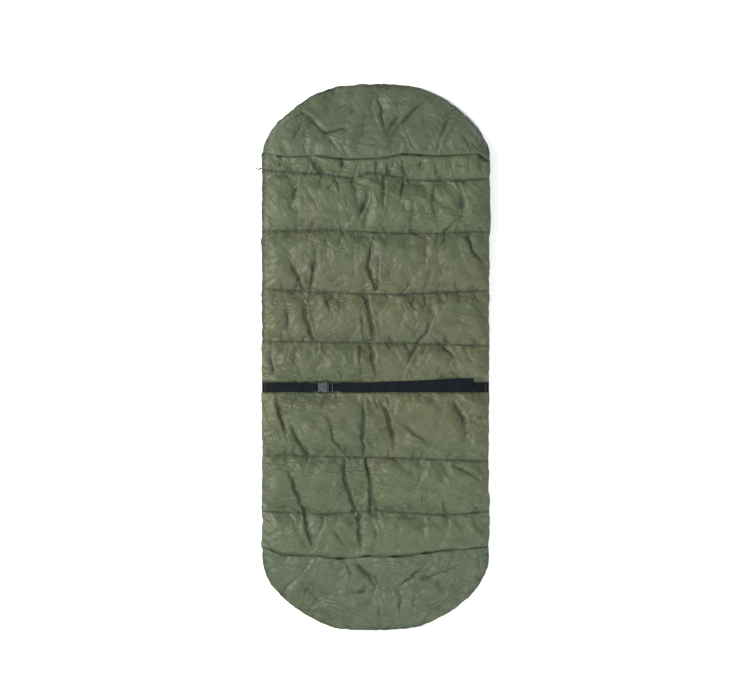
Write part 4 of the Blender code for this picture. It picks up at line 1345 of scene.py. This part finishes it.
def tack(name, low, high, look):
    """A dense zigzag bar of thread across the strap."""
    verts, faces = [], []
    count = 26
    ys = np.linspace(low[1], high[1], count + 1)
    top = high[2]
    for number in range(count):
        a = np.array([low[0] if number % 2 else high[0], ys[number], top])
        b = np.array([high[0] if number % 2 else low[0], ys[number + 1], top])
        run = b - a
        side = np.array([-run[1], run[0], 0.0]) / np.linalg.norm(run[:2])
        base = len(verts)
        for share, size in ((0.0, 0.5), (0.15, 1.0), (0.85, 1.0), (1.0, 0.5)):
            for turn in np.linspace(0.0, 2.0 * np.pi, 5, endpoint=False):
                ring = side * np.cos(turn) + np.array([0.0, 0.0, 1.0]) * np.sin(turn)
                verts.append(a + run * share + ring * 0.0004 * size)
        faces += grid_faces(4, 5, start=base, close_cols=True)
        faces += [[base + k for k in range(4, -1, -1)], [base + 15 + k for k in range(5)]]
    obj = mesh_piece(name, verts, faces, look)
    fix_normals(obj)
    return obj


# Materials


WEBBING_TONES = ((0.0022, 0.0031, 0.0045), (0.0044, 0.0059, 0.0080), (0.0090, 0.0115, 0.0148))

# The middle range of a noise and of a finer noise, where most of its values lie
PATCHES = (0.35, 0.65)
GRAIN = (0.3, 0.7)


def node(tree, kind, **values):
    made = tree.nodes.new(kind)
    for key, value in values.items():
        setattr(made, key, value)
    return made


def link(tree, source, target):
    tree.links.new(source, target)


def set_inputs(shader, **values):
    """Constant values of the inputs whose names, with _ for each space, are given."""
    for name, value in values.items():
        shader.inputs[name.replace("_", " ")].default_value = value


def new_look(name):
    """A new material with its nodes, its shader and the object's own coordinates."""
    look = bpy.data.materials.new(name)
    look.use_nodes = True
    tree = look.node_tree
    return look, tree, tree.nodes["Principled BSDF"], node(tree, "ShaderNodeTexCoord").outputs["Object"]


def noise_node(tree, coords, scale, detail, roughness=0.5):
    made = node(tree, "ShaderNodeTexNoise")
    set_inputs(made, Scale=scale, Detail=detail, Roughness=roughness)
    link(tree, coords, made.inputs["Vector"])
    return made.outputs["Fac"]


def remap(tree, source, low, high, new_low=0.0, new_high=1.0):
    made = node(tree, "ShaderNodeMapRange")
    set_inputs(made, From_Min=low, From_Max=high, To_Min=new_low, To_Max=new_high)
    link(tree, source, made.inputs["Value"])
    return made.outputs["Result"]


def share_of(tree, source, share):
    return remap(tree, source, 0.0, 1.0, 0.0, share)


def mix_colour(tree, factor, first, second):
    made = node(tree, "ShaderNodeMix", data_type="RGBA")
    sockets = [socket for socket in made.inputs if socket.type == "RGBA"]
    for socket, value in zip(sockets, (first, second)):
        if isinstance(value, tuple):
            socket.default_value = value
        else:
            link(tree, value, socket)
    link(tree, factor, made.inputs["Factor"])
    return [socket for socket in made.outputs if socket.type == "RGBA"][0]


def math_node(tree, operation, first, second):
    made = node(tree, "ShaderNodeMath", operation=operation)
    for socket, value in zip(made.inputs, (first, second)):
        if isinstance(value, (int, float)):
            socket.default_value = value
        else:
            link(tree, value, socket)
    return made.outputs["Value"]


def one_axis(tree, coords, name):
    split = node(tree, "ShaderNodeSeparateXYZ")
    link(tree, coords, split.inputs["Vector"])
    return split.outputs[name]


def weave(tree, coords, pitch):
    """Over-and-under threads, as two crossed sets of waves."""
    bands = []
    for direction in ("X", "Y"):
        wave_node = node(tree, "ShaderNodeTexWave", wave_type="BANDS", bands_direction=direction)
        set_inputs(wave_node, Scale=math.pi / (10.0 * pitch), Distortion=0.4, Detail=1.0)
        link(tree, coords, wave_node.inputs["Vector"])
        bands.append(wave_node.outputs["Fac"])
    return math_node(tree, "MULTIPLY", bands[0], bands[1])


def bump(tree, height, distance, strength, below=None):
    made = node(tree, "ShaderNodeBump")
    set_inputs(made, Distance=distance, Strength=strength)
    link(tree, height, made.inputs["Height"])
    if below is not None:
        link(tree, below, made.inputs["Normal"])
    return made.outputs["Normal"]


def fabric(name, tones, roughness, sheen, pitch, folds=True, ends=None, press=0.7):
    """Woven cloth in dark, middle and light tones, with its threads, crinkles and creases, and painted
    shade along its crease lines and wherever its fold_shadow is high.

    ends is the tone it takes towards the head and the foot; press says how hard it is creased, both in the
    dents of its crease lines and in their painted shade.
    """
    dark, middle, light = [(*tone, 1.0) for tone in tones]
    look, tree, shader, coords = new_look(name)
    broad = remap(tree, noise_node(tree, coords, 4.5, 3.0), *PATCHES)
    colour = mix_colour(tree, broad, middle, light)
    patches = remap(tree, noise_node(tree, coords, 19.0, 4.0, 0.6), 0.42, 0.68, 0.0, 0.55)
    colour = mix_colour(tree, patches, colour, dark)
    threads = weave(tree, coords, pitch)
    colour = mix_colour(tree, share_of(tree, threads, 0.22), colour, light)
    if ends is not None:
        from_middle = math_node(tree, "ADD", one_axis(tree, coords, "Y"), -0.05)
        far = math_node(tree, "ABSOLUTE", from_middle, 0.0)
        colour = mix_colour(tree, remap(tree, far, 0.25, 1.0, 0.0, 0.75), colour, (*ends, 1.0))
    if folds:
        lines, ripples = pressed_creases(tree, coords)
        # Painted shade: darker along the crease lines and where fold_shadow marks creases, hollows, seams
        # and shadows under hems and beside the strap
        depth = node(tree, "ShaderNodeAttribute", attribute_name="fold_shadow").outputs["Fac"]
        deep = tuple(channel * 0.28 for channel in dark[:3]) + (1.0,)
        colour = mix_colour(tree, share_of(tree, lines, 0.17 * press), colour, deep)
        colour = mix_colour(tree, share_of(tree, depth, 0.85), colour, deep)
    link(tree, colour, shader.inputs["Base Color"])
    rough = remap(tree, noise_node(tree, coords, 60.0, 3.0), *GRAIN, roughness - 0.07, roughness + 0.07)
    link(tree, rough, shader.inputs["Roughness"])
    crinkles = noise_node(tree, coords, 95.0, 5.0, 0.62)
    below = bump(tree, crinkles, 0.0010, 0.4)
    if folds:
        below = bump(tree, ripples, 0.0060, 0.8 * press, below)
        below = bump(tree, math_node(tree, "SUBTRACT", 1.0, lines), 0.0024, press, below)
    link(tree, bump(tree, threads, 0.00015, 0.35, below), shader.inputs["Normal"])
    set_inputs(shader, Sheen_Weight=sheen, Sheen_Roughness=0.35, Sheen_Tint=(0.85, 0.90, 0.75, 1.0))
    set_inputs(shader, Specular_IOR_Level=0.20)
    return look


def pressed_creases(tree, coords):
    """Thin lines where the cloth has been folded and pressed, and the fine ripples beside them; the lines
    dent the surface and also darken its colour as painted shade.
    """
    lines, ripples = [], []
    for turn, scale, width in ((0.45, 20.0, 0.030), (-0.80, 24.0, 0.032), (1.35, 26.0, 0.034)):
        turned = node(tree, "ShaderNodeMapping", vector_type="TEXTURE")
        stretched = (1.0, 4.5, 1.0)
        set_inputs(turned, Location=(turn, scale * 0.1, 0.0), Rotation=(0.0, 0.0, turn), Scale=stretched)
        link(tree, coords, turned.inputs["Vector"])
        place = turned.outputs["Vector"]
        away = math_node(tree, "SUBTRACT", noise_node(tree, place, scale, 2.0, 0.45), 0.5)
        line = remap(tree, math_node(tree, "ABSOLUTE", away, 0.0), 0.0, width, 1.0, 0.0)
        where = remap(tree, noise_node(tree, place, 7.0 + turn, 2.0), 0.48, 0.60)
        lines.append(math_node(tree, "MULTIPLY", line, where))
        wider = remap(tree, noise_node(tree, place, 7.0 + turn, 2.0), 0.40, 0.58)
        ripple = noise_node(tree, place, scale * 3.0, 2.0, 0.6)
        ripples.append(math_node(tree, "MULTIPLY", ripple, wider))
    most = math_node(tree, "MAXIMUM", math_node(tree, "MAXIMUM", lines[0], lines[1]), lines[2])
    total = math_node(tree, "ADD", math_node(tree, "ADD", ripples[0], ripples[1]), ripples[2])
    return most, total


def webbing_look():
    look, tree, shader, coords = new_look("black_webbing")
    threads = weave(tree, coords, 0.0016)
    broad = remap(tree, noise_node(tree, coords, 30.0, 4.0), 0.35, 0.7)
    dark, light, worn = [(*tone, 1.0) for tone in WEBBING_TONES]
    colour = mix_colour(tree, broad, dark, light)
    colour = mix_colour(tree, share_of(tree, threads, 0.5), colour, worn)
    link(tree, colour, shader.inputs["Base Color"])
    rough = remap(tree, noise_node(tree, coords, 80.0, 3.0), *GRAIN, 0.62, 0.8)
    link(tree, rough, shader.inputs["Roughness"])
    link(tree, bump(tree, threads, 0.0004, 0.7), shader.inputs["Normal"])
    set_inputs(shader, Specular_IOR_Level=0.05)
    return look


def hard_surface(tree, shader, coords, grain, roughness, depth):
    """The fine uneven grain of a hard material, in its roughness and its surface."""
    fine = noise_node(tree, coords, grain, 4.0, 0.6)
    link(tree, remap(tree, fine, *GRAIN, *roughness), shader.inputs["Roughness"])
    link(tree, bump(tree, fine, depth, 0.5), shader.inputs["Normal"])


def hard_look(name, tones, roughness, metallic=0.0, grain=420.0, depth=0.00012):
    first, second = [(*tone, 1.0) for tone in tones]
    look, tree, shader, coords = new_look(name)
    patches = remap(tree, noise_node(tree, coords, 70.0, 4.0, 0.6), *PATCHES)
    link(tree, mix_colour(tree, patches, first, second), shader.inputs["Base Color"])
    hard_surface(tree, shader, coords, grain, roughness, depth)
    set_inputs(shader, Metallic=metallic)
    return look


def buckle_look():
    """Dark moulded plastic, its raised top lighter as a painted reflection and its bar lighter as a
    painted highlight.
    """
    look, tree, shader, coords = new_look("moulded_plastic")
    # Painted light: the raised top between these x is lighter as a painted reflection of the lamps, and
    # the outer bar as a painted highlight
    along = one_axis(tree, coords, "X")
    starts, stops = remap(tree, along, -0.2300, -0.2270), remap(tree, along, -0.1912, -0.1918)
    painted_reflection = math_node(tree, "MULTIPLY", starts, stops)
    bar = remap(tree, along, -0.1728, -0.1718, 0.0, 0.8)
    tone = math_node(tree, "ADD", painted_reflection, bar)
    patches = remap(tree, noise_node(tree, coords, 90.0, 4.0, 0.6), *PATCHES)
    painted_light_tone = mix_colour(tree, patches, (0.0245, 0.0282, 0.0310, 1.0), (0.0345, 0.0395, 0.0430, 1.0))
    dark = mix_colour(tree, patches, (0.005, 0.006, 0.007, 1.0), (0.009, 0.010, 0.012, 1.0))
    link(tree, mix_colour(tree, tone, dark, painted_light_tone), shader.inputs["Base Color"])
    hard_surface(tree, shader, coords, 420.0, (0.36, 0.50), 0.00012)
    set_inputs(shader, Specular_IOR_Level=0.3)
    return look


def dress(name, look, width):
    """Give a rigid CAD piece its material and round its edges for its looks."""
    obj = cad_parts[name]
    modifier = obj.modifiers.new("Bevel", "BEVEL")
    modifier.width = width
    modifier.segments = 2
    modifier.limit_method = "ANGLE"
    modifier.angle_limit = math.radians(35.0)
    modifier.harden_normals = False
    obj.data.materials.clear()
    obj.data.materials.append(look)


# Studio


WHITE = (1.0, 1.0, 1.0, 1.0)
FLOOR_SIZE = 14.0
CAMERA_PLACE = (-0.0020, 0.0257)
CAMERA_HEIGHT = 0.080 + 7.0


def add_floor():
    """Pale paper that glows a little, so that shadows on it stay faint."""
    bpy.ops.mesh.primitive_plane_add(size=FLOOR_SIZE, location=(0.0, 0.0, -0.0005))
    floor = bpy.context.active_object
    floor.name = "floor"
    look, tree, shader, coords = new_look("floor_paper")
    tone = remap(tree, noise_node(tree, coords, 3.0, 2.0), *GRAIN)
    paper = mix_colour(tree, tone, (0.90, 0.90, 0.90, 1.0), (0.92, 0.92, 0.92, 1.0))
    link(tree, paper, shader.inputs["Base Color"])
    set_inputs(shader, Roughness=0.95, Emission_Color=WHITE, Emission_Strength=0.10)
    floor.data.materials.append(look)


def add_light(name, place, size, power, colour):
    """A round area light that looks at the middle of the bag."""
    data = bpy.data.lights.new(name, "AREA")
    data.shape = "DISK"
    data.size = size
    data.energy = power
    data.color = colour
    lamp = bpy.data.objects.new(name, data)
    lamp.location = place
    lamp.rotation_euler = (-Vector(place)).to_track_quat("-Z", "Y").to_euler()
    bpy.context.scene.collection.objects.link(lamp)


def add_studio():
    world = bpy.data.worlds.new("studio")
    world.use_nodes = True
    set_inputs(world.node_tree.nodes["Background"], Color=WHITE, Strength=0.72)
    bpy.context.scene.world = world
    add_light("key_light", (-3.3, 0.7, 4.0), size=2.2, power=450.0, colour=(1.0, 0.985, 0.93))
    add_light("fill_light", (2.8, -3.2, 3.5), size=2.8, power=222.0, colour=(0.95, 0.98, 1.0))


def add_camera():
    """Straight above the bag, as in the photograph."""
    data = bpy.data.cameras.new("camera")
    data.lens = 85.0
    data.sensor_width = 36.0
    data.clip_end = 100.0
    camera = bpy.data.objects.new("camera", data)
    camera.location = (*CAMERA_PLACE, CAMERA_HEIGHT)
    bpy.context.scene.collection.objects.link(camera)
    bpy.context.scene.camera = camera


def main():
    bpy.context.scene.view_settings.view_transform = "Standard"
    add_camera()
    add_floor()
    add_studio()
    olive = looks["olive"]
    make_base_top(olive)
    make_base_lining(looks["lining"])
    make_cover(olive, looks["lining"])
    make_base_binding(looks["binding"])
    make_cover_binding(looks["binding"])
    make_cover_hem(looks["binding"])
    make_zip(looks["zip_tape"], looks["zip_coil"])
    make_draught_tube(looks["lining"])
    make_gusset(looks["lining"])
    make_pocket("head_pocket", True, HEAD_FOLDS, HEAD_HEM, looks["pocket"], looks["thread_olive"])
    make_pocket("foot_pocket", False, FOOT_FOLDS, FOOT_HEM, looks["pocket"], looks["thread_olive"])
    make_strap(looks["webbing"], looks["thread_black"])
    for name in ("buckle_housing", "buckle_plug", "latch_arm_upper", "latch_arm_lower"):
        dress(name, looks["plastic"], 0.0004)
    for name in ("zip_slider", "zip_pull", "zip_top_stop"):
        dress(name, looks["steel"], 0.0003)


DARK_OLIVE = (0.0310, 0.0395, 0.0215)
OLIVE = (0.0505, 0.0598, 0.0326)
LIGHT_OLIVE = (0.0640, 0.0710, 0.0375)
END_OLIVE = (0.0476, 0.0649, 0.0370)
POCKET_TONES = ((0.0304, 0.0422, 0.0257), (0.0476, 0.0626, 0.0375), (0.0585, 0.0721, 0.0426))
BINDING_TONES = ((0.045, 0.060, 0.036), (0.070, 0.088, 0.054), (0.085, 0.100, 0.062))
LINING_TONES = ((0.040, 0.052, 0.034), (0.062, 0.076, 0.050), (0.075, 0.088, 0.058))
TAPE_TONES = ((0.030, 0.040, 0.028), (0.045, 0.056, 0.038), (0.060, 0.070, 0.048))
OLIVE_THREAD = ((0.040, 0.050, 0.030), (0.060, 0.075, 0.045), (0.080, 0.095, 0.060))
BLACK_THREAD = ((0.010, 0.011, 0.014), (0.016, 0.018, 0.022), (0.030, 0.032, 0.038))
COIL_TONES = ((0.030, 0.038, 0.026), (0.045, 0.055, 0.038))
STEEL_TONES = ((0.035, 0.035, 0.038), (0.095, 0.095, 0.10))

quilt_tones = (DARK_OLIVE, OLIVE, LIGHT_OLIVE)

# Each cloth's tones, roughness, sheen and distance between threads
looks = {
    "olive": fabric("olive_quilt", quilt_tones, 0.46, 0.05, 0.0011, ends=END_OLIVE),
    "pocket": fabric("pocket_cloth", POCKET_TONES, 0.46, 0.05, 0.0011),
    "binding": fabric("binding_tape", BINDING_TONES, 0.62, 0.10, 0.0012, folds=False),
    "lining": fabric("inner_lining", LINING_TONES, 0.58, 0.18, 0.0010, press=0.3),
    "zip_tape": fabric("zip_tape_cloth", TAPE_TONES, 0.75, 0.10, 0.0008, folds=False),
    "thread_olive": fabric("olive_thread", OLIVE_THREAD, 0.55, 0.10, 0.0006, folds=False),
    "thread_black": fabric("black_thread", BLACK_THREAD, 0.55, 0.10, 0.0006, folds=False),
    "webbing": webbing_look(),
    "plastic": buckle_look(),
    "zip_coil": hard_look("nylon_coil", COIL_TONES, (0.35, 0.5)),
    "steel": hard_look("zip_steel", STEEL_TONES, (0.26, 0.42), metallic=1.0, grain=600.0, depth=0.00006),
}
main()
